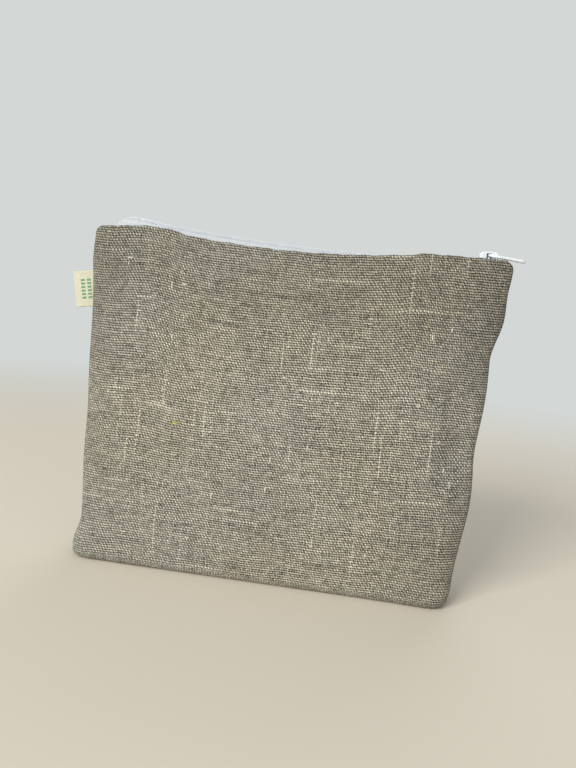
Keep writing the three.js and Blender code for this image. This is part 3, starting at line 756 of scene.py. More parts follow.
class Layers:
    """Rows of one panel, each from its outer and inner face, height and thread place"""

    def __init__(self, columns, back):
        self.columns, self.back = columns, back
        self.near, self.far, self.along = [], [], []

    def add(self, near, far, z, v, weight=1.0):
        level = np.broadcast_to(np.asarray(z, dtype=float), self.columns.shape)
        shift = relief(self.columns, level, self.back) - seam_dip(self.columns, level)
        out = wall_out(self.columns, level) * (shift * weight)[..., None]
        turn = np.array([1, -1, 1]) if self.back else np.array([1, 1, 1])
        self.near.append((near + out) * turn)
        self.far.append((far + out) * turn)
        self.along.append(np.broadcast_to(v, self.columns.shape))

    def body(self, inset, thickness, base_rows, edge_rows, wall_rows, drop, lean=None):
        """Base, rounded base edge and wall, up to a drop below the linen edge"""
        c, deep = self.columns, inset + thickness
        quarter = BASE_EDGE_RADIUS * (math.pi / 2 - 1)
        half = sizes().base_depth / 2 - BASE_EDGE_RADIUS
        for k in range(base_rows):
            share = k / base_rows
            v = -quarter - (1 - share) * half
            self.add(base_points(c, share, inset, inset), base_points(c, share, deep, deep),
                     0.0, v, share ** 2)
        for k in range(edge_rows):
            turn = math.pi / 2 * k / edge_rows
            z = BASE_EDGE_RADIUS * (1 - math.cos(turn))
            faces = []
            for i in (inset, deep):
                r = BASE_EDGE_RADIUS - i
                faces.append(skin(c, np.full_like(c, i + r * (1 - math.cos(turn))), i,
                                  r * (1 - math.sin(turn))))
            self.add(*faces, z, z - quarter * math.cos(turn))
        top = top_of(c)
        stretch = sizes().height / (sizes().height - edge_sag(skin(c, top, 0)[..., 0]))
        for k in range(wall_rows + 1):
            z = mix(BASE_EDGE_RADIUS, top - drop, k / wall_rows)
            extra = 0 if lean is None else lean(top - z)
            self.add(skin(c, z, inset + extra), skin(c, z, deep + extra), z, z * stretch)

    def sheet(self, name, material):
        """The panel's mesh, with its threads mapped in metres along the cloth"""
        near, far = np.array(self.near), np.array(self.far)
        wide, tall = arc_lengths(near), np.array(self.along)
        piece = closed_sheet(name, near, far, np.stack([wide, tall], axis=-1), self.back,
                             material)
        return piece


EDGE_WAVES = (0.16 * MM, 0.12 * MM)  # unevenness of the turned edge, in long and short waves
TURN_STEPS = 9
HEM_STEPS = 6


def linen_panel(back, material):
    """One linen panel, from the base's middle seam up and over its turned edge"""
    thick = sizes().linen
    c = column_line(150, 18)
    panel = Layers(c, back)
    turn_at = thick + HEM_GAP / 2
    panel.body(0.0, thick, 14, 7, 150, turn_at)
    top = top_of(c)
    rise = (EDGE_WAVES[0] * np.sin(c * 41 + 1.3)
            + EDGE_WAVES[1] * np.sin(c * 97 + (2 if back else 0)))
    for k in range(1, TURN_STEPS + 1):
        angle = math.pi * k / TURN_STEPS
        z = top - turn_at + turn_at * math.sin(angle)
        faces = []
        for radius in (turn_at, HEM_GAP / 2):
            lift = rise * math.sin(angle) if radius == turn_at else 0
            points = skin(c, top - turn_at + radius * math.sin(angle),
                          turn_at - radius * math.cos(angle))
            points[..., 2] += lift
            faces.append(points)
        v = panel.along[-1] + math.pi * turn_at / TURN_STEPS
        panel.add(*faces, z, v)
    for k in range(1, HEM_STEPS + 1):
        z = top - turn_at - (HEM_DEPTH - turn_at) * k / HEM_STEPS
        panel.add(skin(c, z, 2 * turn_at), skin(c, z, turn_at + HEM_GAP / 2), z,
                  panel.along[-1] + (HEM_DEPTH - turn_at) / HEM_STEPS)
    side = side_name(back)
    piece = panel.sheet("linen_" + side, material)
    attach(piece, "pouch")
    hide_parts(f"outer_{side}_panel")


LAYER_GAP = 0.4 * MM
LINING = 0.4 * MM
TAPE = 0.5 * MM
LINING_DROP = 6.5 * MM  # from the linen edge down to the lining's own
FLARE_DROP = 16 * MM  # where the lining begins to lean in towards the tape


def lining_panel(back, material):
    """One lining panel, inside the linen and then inside the zip tape"""
    linen = sizes().linen
    seat = linen + LAYER_GAP
    tape_seat = 2 * linen + HEM_GAP + 2 * LAYER_GAP + TAPE
    panel = Layers(column_line(60, 10), back)
    panel.body(seat, LINING, 8, 5, 60, LINING_DROP,
               lambda below: (tape_seat - seat) * smooth(FLARE_DROP, LINING_DROP, below))
    side = side_name(back)
    piece = panel.sheet("cotton_" + side, material)
    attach(piece, "pouch")
    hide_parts("lining_" + side)


# Loose fibres, slubs and seam stitches on the linen

def column_at(x, z):
    """The column of the skin at a distance from the middle and a height"""
    w = np.clip(z / sizes().height, 0, 1)
    n = squareness(w)
    share = np.clip(np.abs(x) / half_width(np.sign(x), w), 1e-6, 0.9999) ** n
    side = 2 - np.maximum(1 / share - 1, 0) ** (1 / n)
    face = (np.minimum(share, 0.4999) / (1 - np.minimum(share, 0.4999))) ** (1 / n)
    return np.sign(x) * np.where(share < 0.5, face, side)


def on_cloth(column, z, back, lift):
    """Points over the linen's outside"""
    column, z, lift = np.broadcast_arrays(np.asarray(column, dtype=float), z, lift)
    out = relief(column, z, back) - seam_dip(column, z) + lift
    points = skin(column, z, 0) + wall_out(column, z) * out[..., None]
    return points * np.array([1, -1, 1]) if back else points


# The most visible slubs of the front: X and Z in mm, and whether they stand upright
NUBS = [(0.7, 66.3, True), (-0.3, 50.6, True), (91.9, 64.0, True), (13.0, 96.0, False),
        (72.0, 102.0, False), (-28.0, 44.0, True), (52.0, 118.0, False), (-60.0, 150.0, True)]
SLUBS_A_SIDE = 46
FIBRES = 380
STRAW_AT = (-50.8 * MM, 79.4 * MM)
SEED = 11


def slubs(draw):
    """Thick places of the thread: position, length, radius and which way they run"""
    places = [(x * MM, z * MM, up, False) for x, z, up in NUBS]
    for back in (False, True):
        for _ in range(SLUBS_A_SIDE):
            places.append((draw.uniform(-92, 92) * MM, draw.uniform(9, 165) * MM,
                           draw.random() < 0.45, back))
    paths, radii = [], []
    for number, (x, z, upright, back) in enumerate(places):
        length = (draw.uniform(2.6, 4.4) if number < len(NUBS) else draw.uniform(1.0, 3.2)) * MM
        thick = draw.uniform(0.22, 0.36) * MM
        run = np.linspace(-0.5, 0.5, 9)
        path_x = x + (0 if upright else 1) * run * length
        path_z = z + (1 if upright else 0) * run * length
        swell = np.sqrt(np.maximum(1 - (2 * run) ** 2, 0.02))
        paths.append(on_cloth(column_at(path_x, path_z), path_z, back, 0.06 * MM))
        radii.append(thick * swell)
    return paths, radii


def fibres(draw):
    """Fine hairs that stand off the cloth, more of them along its lower edge and its sides"""
    paths = []
    for number in range(FIBRES):
        kind = number % 4
        back = draw.random() < 0.4
        z = (draw.uniform(1.5, 6) if kind == 0 else draw.uniform(6, 174)) * MM
        spread = draw.uniform(-1, 1)
        column = spread if kind != 1 else math.copysign(draw.uniform(0.98, 1.9), spread)
        length = draw.uniform(0.9, 3.2) * MM
        heading = draw.uniform(0, 2 * math.pi)
        curl = draw.uniform(-2.2, 2.2)
        rise = draw.uniform(0.25, 0.8) * MM
        walk, step = [(0.0, 0.0)], length / 6
        for k in range(6):
            angle = heading + curl * k / 6
            x, y = walk[-1]
            walk.append((x + step * math.cos(angle), y + step * math.sin(angle)))
        walk = np.array(walk)
        columns = np.clip(column + walk[:, 0] / (100 * MM), -1.98, 1.98)
        heights = np.clip(z + walk[:, 1], 0.8 * MM, 175 * MM)
        lift = rise * np.sin(np.linspace(0.1, 2.2, 7))
        paths.append(on_cloth(columns, heights, back, lift))
    return paths


def straw_tuft(draw):
    """One stray tuft of straw in the front"""
    paths = []
    for k in range(9):
        turn = 2 * math.pi * k / 9 + draw.uniform(-0.3, 0.3)
        reach = draw.uniform(1.0, 2.9) * MM
        run = np.linspace(-0.15, 1, 7) * reach
        x = STRAW_AT[0] + run * math.cos(turn) * 1.3
        z = STRAW_AT[1] + run * math.sin(turn) * 0.7
        lift = (0.12 + 0.35 * np.sin(np.linspace(0, math.pi, 7))) * MM
        paths.append(on_cloth(column_at(x, z), z, False, lift))
    return paths


def seam_stitches():
    """Short threads that show across the side seams"""
    paths = []
    for end in (-2, 2):
        for z in np.arange(6 * MM, 168 * MM, STITCH):
            front = on_cloth(np.array([end * 0.972]), np.array([z]), False, 0.02 * MM)[0]
            back = front * np.array([1, -1, 1])
            deep = (front + back) / 2 - np.array([math.copysign(0.28 * MM, end), 0, 0])
            paths.append(np.array([front, mix(front, deep, 0.5), deep, mix(back, deep, 0.5),
                                   back]))
    return paths


# Zip

# The chain's arc, its lowest place and how far that lies below the linen edge's height
ZIP_RADIUS = 1100 * MM
ZIP_LOW_AT = 45 * MM
ZIP_LOW = 3.35 * MM
CHAIN_LEFT = 19 * MM  # from the left top corner to the bottom stop
FILAMENT = 0.38 * MM
COIL_CORNER = 0.42 * MM
COIL_HEIGHT = 1.62 * MM
COIL_REACH = 0.5 * MM
COIL_WIDTH = 2.8 * MM
CORD_HALF = 1.14 * MM
CORD_HIGH = 0.58 * MM
CORD_RIB = 0.05
CORD_RIB_STEP = 1.1 * MM
SEWN_AT = (1.15 * MM, 1.95 * MM)  # rows of thread, across the tape from the coil's middle
SEWN_SINK = 0.04 * MM
SEWN_RISE = 0.05 * MM
SEWN_RADIUS = 0.085 * MM
TAPE_EDGE = 0.45 * MM
TAPE_BELOW = 0.09 * MM
TAPE_TUCK = 5 * MM
TAPE_SHOULDER = 0.45 * MM
TAPE_TO_SEAM = 3.6 * MM
TAPE_CLEAR = 0.25 * MM  # between the tape's flat part and the wall
TAPE_TURN = 0.9 * MM  # from the flat part down to where the tape lies on the wall
TAPE_UNDER_EDGE = 1 * MM
TAPE_HANGS = 3 * MM
TAPE_ROWS = (7, 3, 6)
STOP_LENGTH = 2.6 * MM
SLIDER_LENGTH = 10 * MM
SLIDER_FROM_SEAM = 11.7 * MM
RUN_GAP = 0.19 * MM
FLANGE = 0.45 * MM
DIAMOND = 1.5 * MM
PART_FROM = 1.8 * MM  # inside the slider's low end
PART_TO = 0.6 * MM  # inside its high end
CHAIN_MORE = 11  # turns of the coil past the bottom stop, into the corner
# The slack chain: a hump with a roll towards the front, and the bend into the left corner
HUMP = 0.6 * MM
HUMP_AT = -83 * MM
HUMP_HALF = 12 * MM
ROLL = math.radians(12)
BEND_AT = -86 * MM
BEND_RADIUS = 9.5 * MM
RIGHT_RISE = 0.4 * MM
RIGHT_RISE_AT = 74 * MM
RIGHT_RISE_HALF = 15 * MM
STOP_SINK = 0.7 * MM


def chain_rise(x):
    """How far the slack chain stands off its arc: a low hump, then down into the left corner"""
    past = np.clip(BEND_AT - x, 0, BEND_RADIUS * 0.97)
    right = RIGHT_RISE * bump(x - RIGHT_RISE_AT, RIGHT_RISE_HALF)
    down = BEND_RADIUS - np.sqrt(BEND_RADIUS ** 2 - past ** 2)
    return right + HUMP * bump(x - HUMP_AT, HUMP_HALF) - down


def along_at(x):
    """Way along the chain's arc from its lowest place to a distance from the middle"""
    return ZIP_RADIUS * math.asin((x - ZIP_LOW_AT) / ZIP_RADIUS)


def on_chain(along, y, up):
    """Points by their way along the chain's arc, across it and square to it"""
    along, y, up = np.broadcast_arrays(np.asarray(along, dtype=float), y, up)
    turn = along / ZIP_RADIUS
    level = ZIP_LOW_AT + ZIP_RADIUS * np.sin(turn)
    rolled = y * np.sin(ROLL * bump(level - HUMP_AT, 1.2 * HUMP_HALF))
    radius = ZIP_RADIUS - up - chain_rise(level) - rolled
    x = ZIP_LOW_AT + radius * np.sin(turn)
    z = sizes().height - ZIP_LOW + ZIP_RADIUS - radius * np.cos(turn)
    return np.stack([x, y, z], axis=-1)


def slider_span():
    """Where the slider begins and ends along the chain"""
    middle = along_at(sizes().right_top - SLIDER_FROM_SEAM)
    return middle - SLIDER_LENGTH / 2, middle + SLIDER_LENGTH / 2


def chain_span():
    """Where the chain begins and ends, without the turns that go on into the corner"""
    return along_at(CHAIN_LEFT - sizes().left_top), slider_span()[1] + FILAMENT


def parting(along):
    """How far each half of the chain stands off the middle inside the slider"""
    low, high = slider_span()
    wide = DIAMOND / 2 + RUN_GAP + COIL_REACH
    return wide * smooth(low + PART_FROM, high - PART_TO, np.asarray(along, dtype=float))


def ring_faces(count, sides):
    """Four-sided faces between rings of points"""
    return [(i * sides + k, i * sides + (k + 1) % sides,
             (i + 1) * sides + (k + 1) % sides, (i + 1) * sides + k)
            for i in range(count - 1) for k in range(sides)]


def end_faces(count, sides, start=0):
    """The two flat ends of a run of rings"""
    last = start + (count - 1) * sides
    return [tuple(start + k for k in reversed(range(sides))),
            tuple(last + k for k in range(sides))]


def tube(path, radius, sides):
    """Points and faces of a round tube along a path, open at its ends"""
    path = np.asarray(path, dtype=float)
    ahead = np.gradient(path, axis=0)
    ahead /= np.linalg.norm(ahead, axis=1)[:, None]
    leaning = np.array([0.31, 0.22, 0.93])  # along no path, so that it gives a first side
    across = np.cross(ahead[0], leaning)
    frames = []
    for step in ahead:
        across = across - step * np.dot(across, step)
        across /= np.linalg.norm(across)
        frames.append((across, np.cross(step, across)))
    radius = np.broadcast_to(radius, len(path))
    turns = [2 * math.pi * k / sides for k in range(sides)]
    points = [p + r * (math.cos(t) * a + math.sin(t) * b)
              for p, r, (a, b) in zip(path, radius, frames) for t in turns]
    return np.array(points), ring_faces(len(path), sides)


def tubes(name, paths, radius, sides, material, body="pouch"):
    """One piece from several closed tubes, all of one radius or each with its own"""
    mesh = bpy.data.meshes.new(name)
    points, faces = [], []
    for number, path in enumerate(paths):
        size = radius[number] if isinstance(radius, list) else radius
        got, quads = tube(path, size, sides)
        start = len(points)
        points.extend(got.tolist())
        faces.extend(tuple(v + start for v in quad) for quad in quads)
        faces.extend(end_faces(len(path), sides, start))
    mesh.from_pydata(points, [], faces)
    piece = link(name, mesh, material)
    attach(piece, body)
    return piece


def rounded(corners, radius, steps=3):
    """A path with its inner corners rounded"""
    corners = [np.asarray(p, dtype=float) for p in corners]
    path = [corners[0]]
    for a, b, c in zip(corners, corners[1:], corners[2:]):
        before, after = a - b, c - b
        near = min(radius, np.linalg.norm(before) * 0.49, np.linalg.norm(after) * 0.49)
        p = b + before / np.linalg.norm(before) * near
        q = b + after / np.linalg.norm(after) * near
        for k in range(steps + 1):
            t = k / steps
            path.append((1 - t) ** 2 * p + 2 * t * (1 - t) * b + t * t * q)
    path.append(corners[-1])
    return path


def coil(side, material):
    """The flattened filament of the front half, side -1, or the back one, side 1

    Each turn goes out along a leg, round the head, back along a leg and on to the next.
    """
    half = FILAMENT / 2
    up = COIL_HEIGHT / 2 - half
    head = COIL_REACH - half
    back = COIL_REACH - COIL_WIDTH + half
    start, end = chain_span()
    s = start + (0 if side < 0 else sizes().coil_pitch / 2) - CHAIN_MORE * sizes().coil_pitch
    corners = []
    while s < end - half:
        for y, h in ((back, up), (head, up), (head, -up), (back, -up)):
            corners.append(on_chain(s, side * (parting(s) - y), h))
        s += sizes().coil_pitch
    name = side_name(side > 0)
    piece = tubes("filament_" + name, [rounded(corners, COIL_CORNER)], half, 8, material)
    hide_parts("zip_coil_" + name)


def core_cord(side, material):
    """The flat cord that fills the loops of one half"""
    start, end = chain_span()
    middle = COIL_WIDTH / 2 - COIL_REACH
    more = CHAIN_MORE * sizes().coil_pitch
    line = np.linspace(start - FILAMENT - more, end + FILAMENT, 200)[:, None]
    turn = np.linspace(0, 2 * math.pi, 14, endpoint=False)
    ribbed = 1 + CORD_RIB * np.sin(line * 2 * math.pi / CORD_RIB_STEP)
    points = on_chain(line, side * (middle + parting(line) + CORD_HALF * ribbed * np.cos(turn)),
                      CORD_HIGH * ribbed * np.sin(turn))
    name = side_name(side > 0)
    piece = skinned("cord_" + name, points, material)
    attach(piece, "pouch")
    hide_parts("coil_core_" + name)


def skinned(name, rings, material):
    """One closed piece from rings of points, with flat ends"""
    count, sides = rings.shape[:2]
    faces = ring_faces(count, sides) + end_faces(count, sides)
    mesh = bpy.data.meshes.new(name)
    mesh.from_pydata(rings.reshape(-1, 3).tolist(), [], faces)
    bm = bmesh.new()
    bm.from_mesh(mesh)
    bmesh.ops.recalc_face_normals(bm, faces=bm.faces)
    bm.to_mesh(mesh)
    bm.free()
    return link(name, mesh, material)


def sewing(side, material):
    """Two rows of thread that hold a coil on its tape"""
    start, end = chain_span()
    paths = []
    for across in SEWN_AT:
        line = np.arange(start - CHAIN_MORE * sizes().coil_pitch, end, sizes().coil_pitch / 6)
        turn = 2 * math.pi * (line - start) / sizes().coil_pitch
        offset = 0 if side < 0 else math.pi
        up = COIL_HEIGHT / 2 - SEWN_SINK + SEWN_RISE * np.cos(turn - offset)
        paths.append(on_chain(line, side * (across + parting(line)), up))
    tubes("coil_stitches_" + side_name(side > 0), paths, SEWN_RADIUS, 6, material)


def tape(side, material):
    """One woven tape: flat under the coil, then down between linen and lining"""
    start = chain_span()[0]
    stop = start - 3 * FILAMENT - STOP_LENGTH
    slider_low, slider_high = slider_span()
    last = along_at(sizes().right_top - TAPE_TO_SEAM)
    line = np.concatenate([
        np.linspace(stop - TAPE_TUCK, stop, 24, endpoint=False),
        np.linspace(stop, slider_low, 130, endpoint=False),
        np.linspace(slider_low, last, 40)])
    seat = 2 * sizes().linen + HEM_GAP + LAYER_GAP
    under = -COIL_HEIGHT / 2 - TAPE_BELOW
    wide = COIL_WIDTH - COIL_REACH + parting(slider_high) + 2 * RUN_GAP + FLANGE
    x = on_chain(line, 0, 0)[..., 0]
    linen = edge_height(x)
    layers = []
    for deep in (0.0, TAPE):
        def wall(z):
            """Distance of the tape's place on the wall from the middle plane"""
            w = np.minimum(z / linen, 1)
            reach = np.where(x < 0, left_half(w), right_half(w)) - seat - deep
            n = squareness(w)
            share = np.minimum(np.abs(x) / reach, 0.999)
            return (half_depth(w) - seat - deep) * (1 - share ** n) ** (1 / n)

        level = on_chain(line, 0, under - deep)[..., 2]
        flat = np.minimum(wall(linen) - TAPE_CLEAR, wide)
        shoulder = np.minimum(level - TAPE_TURN + deep, linen - TAPE_UNDER_EDGE)
        hem = np.minimum(linen - HEM_DEPTH, level - TAPE_HANGS)
        keys = [(-TAPE_EDGE - parting(line), level), (-flat + deep, level + TAPE_SHOULDER),
                (-wall(shoulder), shoulder), (-wall(hem), hem)]
        rows = []
        for (y0, z0), (y1, z1), parts in zip(keys, keys[1:], TAPE_ROWS):
            for k in range(parts):
                rows.append(np.stack([x, mix(y0, y1, k / parts), mix(z0, z1, k / parts)], -1))
        rows.append(np.stack([x, *keys[3]], -1))
        grid = np.array(rows)
        for _ in range(2):
            grid[1:-1] = grid[1:-1] / 2 + (grid[:-2] + grid[2:]) / 4
        layers.append(grid * np.array([1, side * -1, 1]))
    near, far = layers
    across = np.concatenate([np.zeros((1, len(line))), np.cumsum(
        np.linalg.norm(np.diff(near, axis=0), axis=-1), axis=0)])
    uv = np.stack([np.broadcast_to(line, across.shape), across], axis=-1)
    name = side_name(side > 0)
    piece = closed_sheet("tape_" + name, near, far, uv, side < 0, material)
    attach(piece, "pouch")
    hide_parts("zip_tape_" + name)


# Slider

# Cheeks of the crown, and the spring's pawl, which stands dark in the hole under the crown as
# painted shade: spans along the zip from the slider's middle, in mm
CHEEKS = ((-4.7, -1.3), (1.25, 4.5))
CHEEK_LOW = 2.75 * MM
CHEEK_HIGH = 5.2 * MM
CHEEK_HALF = 1.17 * MM
PAWL_SHADE = ((-1.25, -0.6), (0.6, 1.2))
PAWL_SHADE_LOW = 1.9 * MM
PAWL_SHADE_HALF = 0.5 * MM
BEVEL_STEPS = 3


def add_blocks(bm, spans, low, high, half):
    """Square blocks along the slider: a crown's cheeks, or the spring's pawl beside the tab's bar,
    dark as painted shade
    """
    middle = along_at(sizes().right_top - SLIDER_FROM_SEAM)
    for ends in spans:
        corners = [bm.verts.new(on_chain(middle + a * MM, y, up).tolist())
                   for up in (low, high) for a in ends for y in (-half, half)]
        for quad in ((0, 1, 3, 2), (4, 6, 7, 5), (0, 4, 5, 1), (2, 3, 7, 6),
                     (0, 2, 6, 4), (1, 5, 7, 3)):
            bm.faces.new([corners[k] for k in quad])
    bmesh.ops.recalc_face_normals(bm, faces=bm.faces)


def softened(node, name, width, material):
    """A rounded copy of a rigid CAD node, kept in its place and on its body"""
    source = bpy.data.objects[node]
    mesh = source.data.copy()
    mesh.name = name
    piece = bpy.data.objects.new(name, mesh)
    bpy.context.scene.collection.objects.link(piece)
    bm = bmesh.new()
    bm.from_mesh(mesh)
    bmesh.ops.remove_doubles(bm, verts=bm.verts, dist=0.002 * MM)
    bmesh.ops.dissolve_limit(bm, angle_limit=math.radians(2), verts=bm.verts, edges=bm.edges)
    if node == "slider_crown":
        add_blocks(bm, CHEEKS, CHEEK_LOW, CHEEK_HIGH, CHEEK_HALF)
    # The pawl blocks stand up to the crown's top, dark, as painted shade in its hole
    if node == "lock_spring":
        add_blocks(bm, PAWL_SHADE, PAWL_SHADE_LOW, CHEEK_HIGH, PAWL_SHADE_HALF)
    bm.to_mesh(mesh)
    bm.free()
    mesh.materials.clear()
    mesh.materials.append(material)
    bevel = piece.modifiers.new("edges", "BEVEL")
    bevel.width = width
    bevel.segments = BEVEL_STEPS
    bevel.limit_method = "ANGLE"
    bevel.angle_limit = math.radians(24)
    bevel.use_clamp_overlap = True
    bevel.harden_normals = True
    apply_all(piece)
    mesh = piece.data
    mesh.polygons.foreach_set("use_smooth", [True] * len(mesh.polygons))
    mesh.set_sharp_from_angle(angle=math.radians(40))
    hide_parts(node)
    return piece


def apply_all(piece):
    """Turn a piece's modifiers into its mesh"""
    evaluated = piece.evaluated_get(bpy.context.evaluated_depsgraph_get())
    mesh = bpy.data.meshes.new_from_object(evaluated)
    old = piece.data
    piece.modifiers.clear()
    piece.data = mesh
    mesh.name = old.name + "_full"
    bpy.data.meshes.remove(old)


# Side tag

TAG_LAYER = 0.45 * MM
TAG_TURN = math.radians(9.5)  # turned in the seam as it was sewn
TAG_IN_SEAM = 1.8 * MM
TAG_LIFT = 2.2 * MM
TAG_TALLER = 0.4 * MM
TAG_WAVE = 0.10 * MM
TAG_STEPS = 30  # along one layer
TAG_FOLD_STEPS = 12  # round half of the fold
TAG_ROWS = 34
# Its bars: spans of the two rows across the tape, span and spacing along them, in mm
BAR_ROWS = ((4.1, 6.3), (7.5, 9.7))
BAR_SPAN = (3.8, 15.2)
BAR_STEP = 1.9
BAR_SOFT = 0.08
BAR_INK = 0.85


def side_tag(material):
    """The folded tape in the left seam, two layers and a soft fold"""
    low, high = Vector(TAG_LOW), Vector(TAG_HIGH)
    tall = high.z - low.z + TAG_TALLER
    middle = (low.z + high.z) / 2 + TAG_LIFT
    seam = high.x
    reach = high.x - low.x
    half = (high.y - low.y) / 2 - TAG_LAYER
    line = []
    for k in range(TAG_STEPS):
        share = k / (TAG_STEPS - 1)
        gap = mix(0.02 * MM, half, smooth(0.2, 0.8, share))
        line.append((mix(-TAG_IN_SEAM, reach - half - TAG_LAYER, share), gap))
    flat = line[-1][0]
    for k in range(1, TAG_FOLD_STEPS):
        turn = math.pi / 2 * k / TAG_FOLD_STEPS
        line.append((flat + half * math.sin(turn), half * math.cos(turn)))
    path = [(d, -g) for d, g in line] + [(flat + half, 0.0)] + [(d, g) for d, g in line[::-1]]
    path = np.array(path)
    ahead = np.gradient(path, axis=0)
    ahead /= np.linalg.norm(ahead, axis=1)[:, None]
    out = np.stack([ahead[:, 1], -ahead[:, 0]], axis=-1)
    steps = np.concatenate([[0], np.cumsum(np.linalg.norm(np.diff(path, axis=0), axis=1))])
    near, far, uv = [], [], []
    for r in range(TAG_ROWS + 1):
        share = r / TAG_ROWS
        up = tall * (share - 0.5)
        wave = TAG_WAVE * math.sin(share * 9 + 0.6)
        for grid, thick in ((near, TAG_LAYER), (far, 0.0)):
            d = path[:, 0] + out[:, 0] * thick
            y = path[:, 1] + out[:, 1] * thick + wave * (d / reach)
            grid.append(np.stack([
                seam - d * math.cos(TAG_TURN) - up * math.sin(TAG_TURN), y,
                middle + up * math.cos(TAG_TURN) - d * math.sin(TAG_TURN)], -1))
        uv.append(np.stack([steps, np.full_like(steps, up + tall / 2)], -1))
    near, far, uv = np.array(near), np.array(far), np.array(uv)
    piece = closed_sheet("tag", near, far, uv, True, material)
    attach(piece, "pouch")
    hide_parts("side_label")


# Operators and panel

YARNS = {"Yarn": (0.80, 0.82, 0.84, 1), "Slub": (0.76, 0.72, 0.61, 1),
         "Loose fibre": (0.66, 0.61, 0.50, 1), "Straw": (0.74, 0.66, 0.22, 1)}


class PouchOperator:
    """What the operators share"""
    bl_options = {"REGISTER", "UNDO"}


class POUCH_OT_materials(PouchOperator, bpy.types.Operator):
    """Make the node groups and the materials"""
    bl_idname = "pouch.materials"
    bl_label = "Materials"

    def execute(self, context):
        s, c = context.scene.pouch_sizes, context.scene.pouch_colours
        for name, make in (("Plain weave", weave_group), ("Mottle", mottle_group),
                           ("Painted shade", painted_shade_group), ("Wear", wear_group)):
            make().name = name
        # The linen's colour holds painted shade, a little darker towards the zip and the side seams
        cloth_material("Linen", s.warp, s.weft, tuple(c.flax_light),
                       tuple(c.flax_dark), 0.42 * MM, gap=0.97, cross=0.06, mottle=0.24,
                       painted_shade=(0.24, 0.18), warm=(1.01, 1.0, 0.96, 1),
                       cool=(0.97, 0.985, 1.0, 1))
        cloth_material("Lining cotton", 0.34 * MM, 0.30 * MM, (0.62, 0.58, 0.47, 1),
                       (0.50, 0.46, 0.36, 1), 0.07 * MM, uneven=0.5, gap=0.2)
        cloth_material("Zip tape", 0.55 * MM, 0.30 * MM, tuple(c.zip_white),
                       (0.66, 0.68, 0.70, 1), 0.10 * MM, uneven=0.25, gap=0.25, wander=0.1,
                       mottle=0.05)
        cloth_material("Tag cotton", 0.42 * MM, 0.36 * MM, tuple(c.tag),
                       (0.60, 0.56, 0.42, 1), 0.09 * MM, uneven=0.4, gap=0.22, wander=0.2)
        woven_bars(named("Tag cotton"), tuple(c.tag_mark))
        nylon()
        enamel()
        spring_steel_and_shade()
        for name, colour in YARNS.items():
            yarn(name, colour)
        return {"FINISHED"}


def woven_bars(material, colour):
    """Two rows of short woven bars across the tag's front, and otherwise plain"""
    g = Graph(material.node_tree)
    bsdf = material.node_tree.nodes["Principled BSDF"]
    plain = bsdf.inputs["Base Color"].links[0].from_socket
    place = g.node("ShaderNodeUVMap", uv_map="threads").outputs[0]
    u, v, _ = g.split(place)

    def inside(value, low, high):
        """1 between two places in mm, with soft ends"""
        soft = BAR_SOFT * MM
        return g.mul(g.ramp(value, low * MM - soft, low * MM + soft),
                     g.ramp(value, high * MM + soft, high * MM - soft))

    step = g.math("FRACT", g.math("DIVIDE", v, BAR_STEP * MM))
    bars = g.mul(g.ramp(step, 0.18, 0.26), g.ramp(step, 0.86, 0.78))
    rows = g.add(*(inside(u, *row) for row in BAR_ROWS))
    mark = g.mul(g.mul(rows, bars), inside(v, *BAR_SPAN))
    share = g.mul(mark, BAR_INK)
    g.feed(bsdf.inputs["Base Color"], g.mix(share, plain, colour))


def nylon():
    """The coil's white, slightly clear nylon"""
    _, g, bsdf = shader("Zip nylon")
    place = g.node("ShaderNodeTexCoord").outputs["Object"]
    grain = g.noise(place, 2400.0, 3.0)
    tone = use(g, "Mottle", Color=tuple(bpy.context.scene.pouch_colours.zip_white),
               Scale=400.0, Amount=0.08)
    g.feed(bsdf.inputs["Base Color"], tone.outputs[0])
    g.feed(bsdf.inputs["Roughness"], g.ramp(grain, 0.3, 0.7, 0.32, 0.46))
    g.feed(bsdf.inputs["Normal"], g.node("ShaderNodeBump", {
        "Strength": 0.3, "Distance": 0.02 * MM, "Height": grain}))
    bsdf.inputs["Subsurface Weight"].default_value = 0.12
    bsdf.inputs["Subsurface Radius"].default_value = (0.0006, 0.0006, 0.0006)


def enamel():
    """White enamel on metal, a little worn at its edges"""
    _, g, bsdf = shader("White enamel")
    worn = use(g, "Wear", Coat=tuple(bpy.context.scene.pouch_colours.enamel), Worn=0.12)
    g.feed(bsdf.inputs["Base Color"], worn.outputs["Color"])
    g.feed(bsdf.inputs["Roughness"], worn.outputs["Roughness"])
    g.feed(bsdf.inputs["Metallic"], worn.outputs["Bare"])
    g.feed(bsdf.inputs["Normal"], g.node("ShaderNodeBump", {
        "Strength": 0.12, "Distance": 0.01 * MM, "Height": worn.outputs["Height"]}))
    bsdf.inputs["Coat Weight"].default_value = 0.25
    bsdf.inputs["Coat Roughness"].default_value = 0.18


def spring_steel_and_shade():
    """Dark steel of the spring, brushed along its length: painted shade where it fills the hole
    under the crown
    """
    _, g, bsdf = shader("Spring steel and painted shade")
    place = g.node("ShaderNodeTexCoord").outputs["Object"]
    brushed = g.noise(g.node("ShaderNodeMapping", {
        "Vector": place, "Scale": (900.0, 14000.0, 14000.0)}).outputs[0], 1.0, 2.0)
    g.feed(bsdf.inputs["Base Color"], g.mix(brushed, (0.05, 0.055, 0.09, 1),
                                            (0.09, 0.10, 0.15, 1)))
    g.feed(bsdf.inputs["Roughness"], g.ramp(brushed, 0.2, 0.8, 0.24, 0.42))
    bsdf.inputs["Metallic"].default_value = 1.0


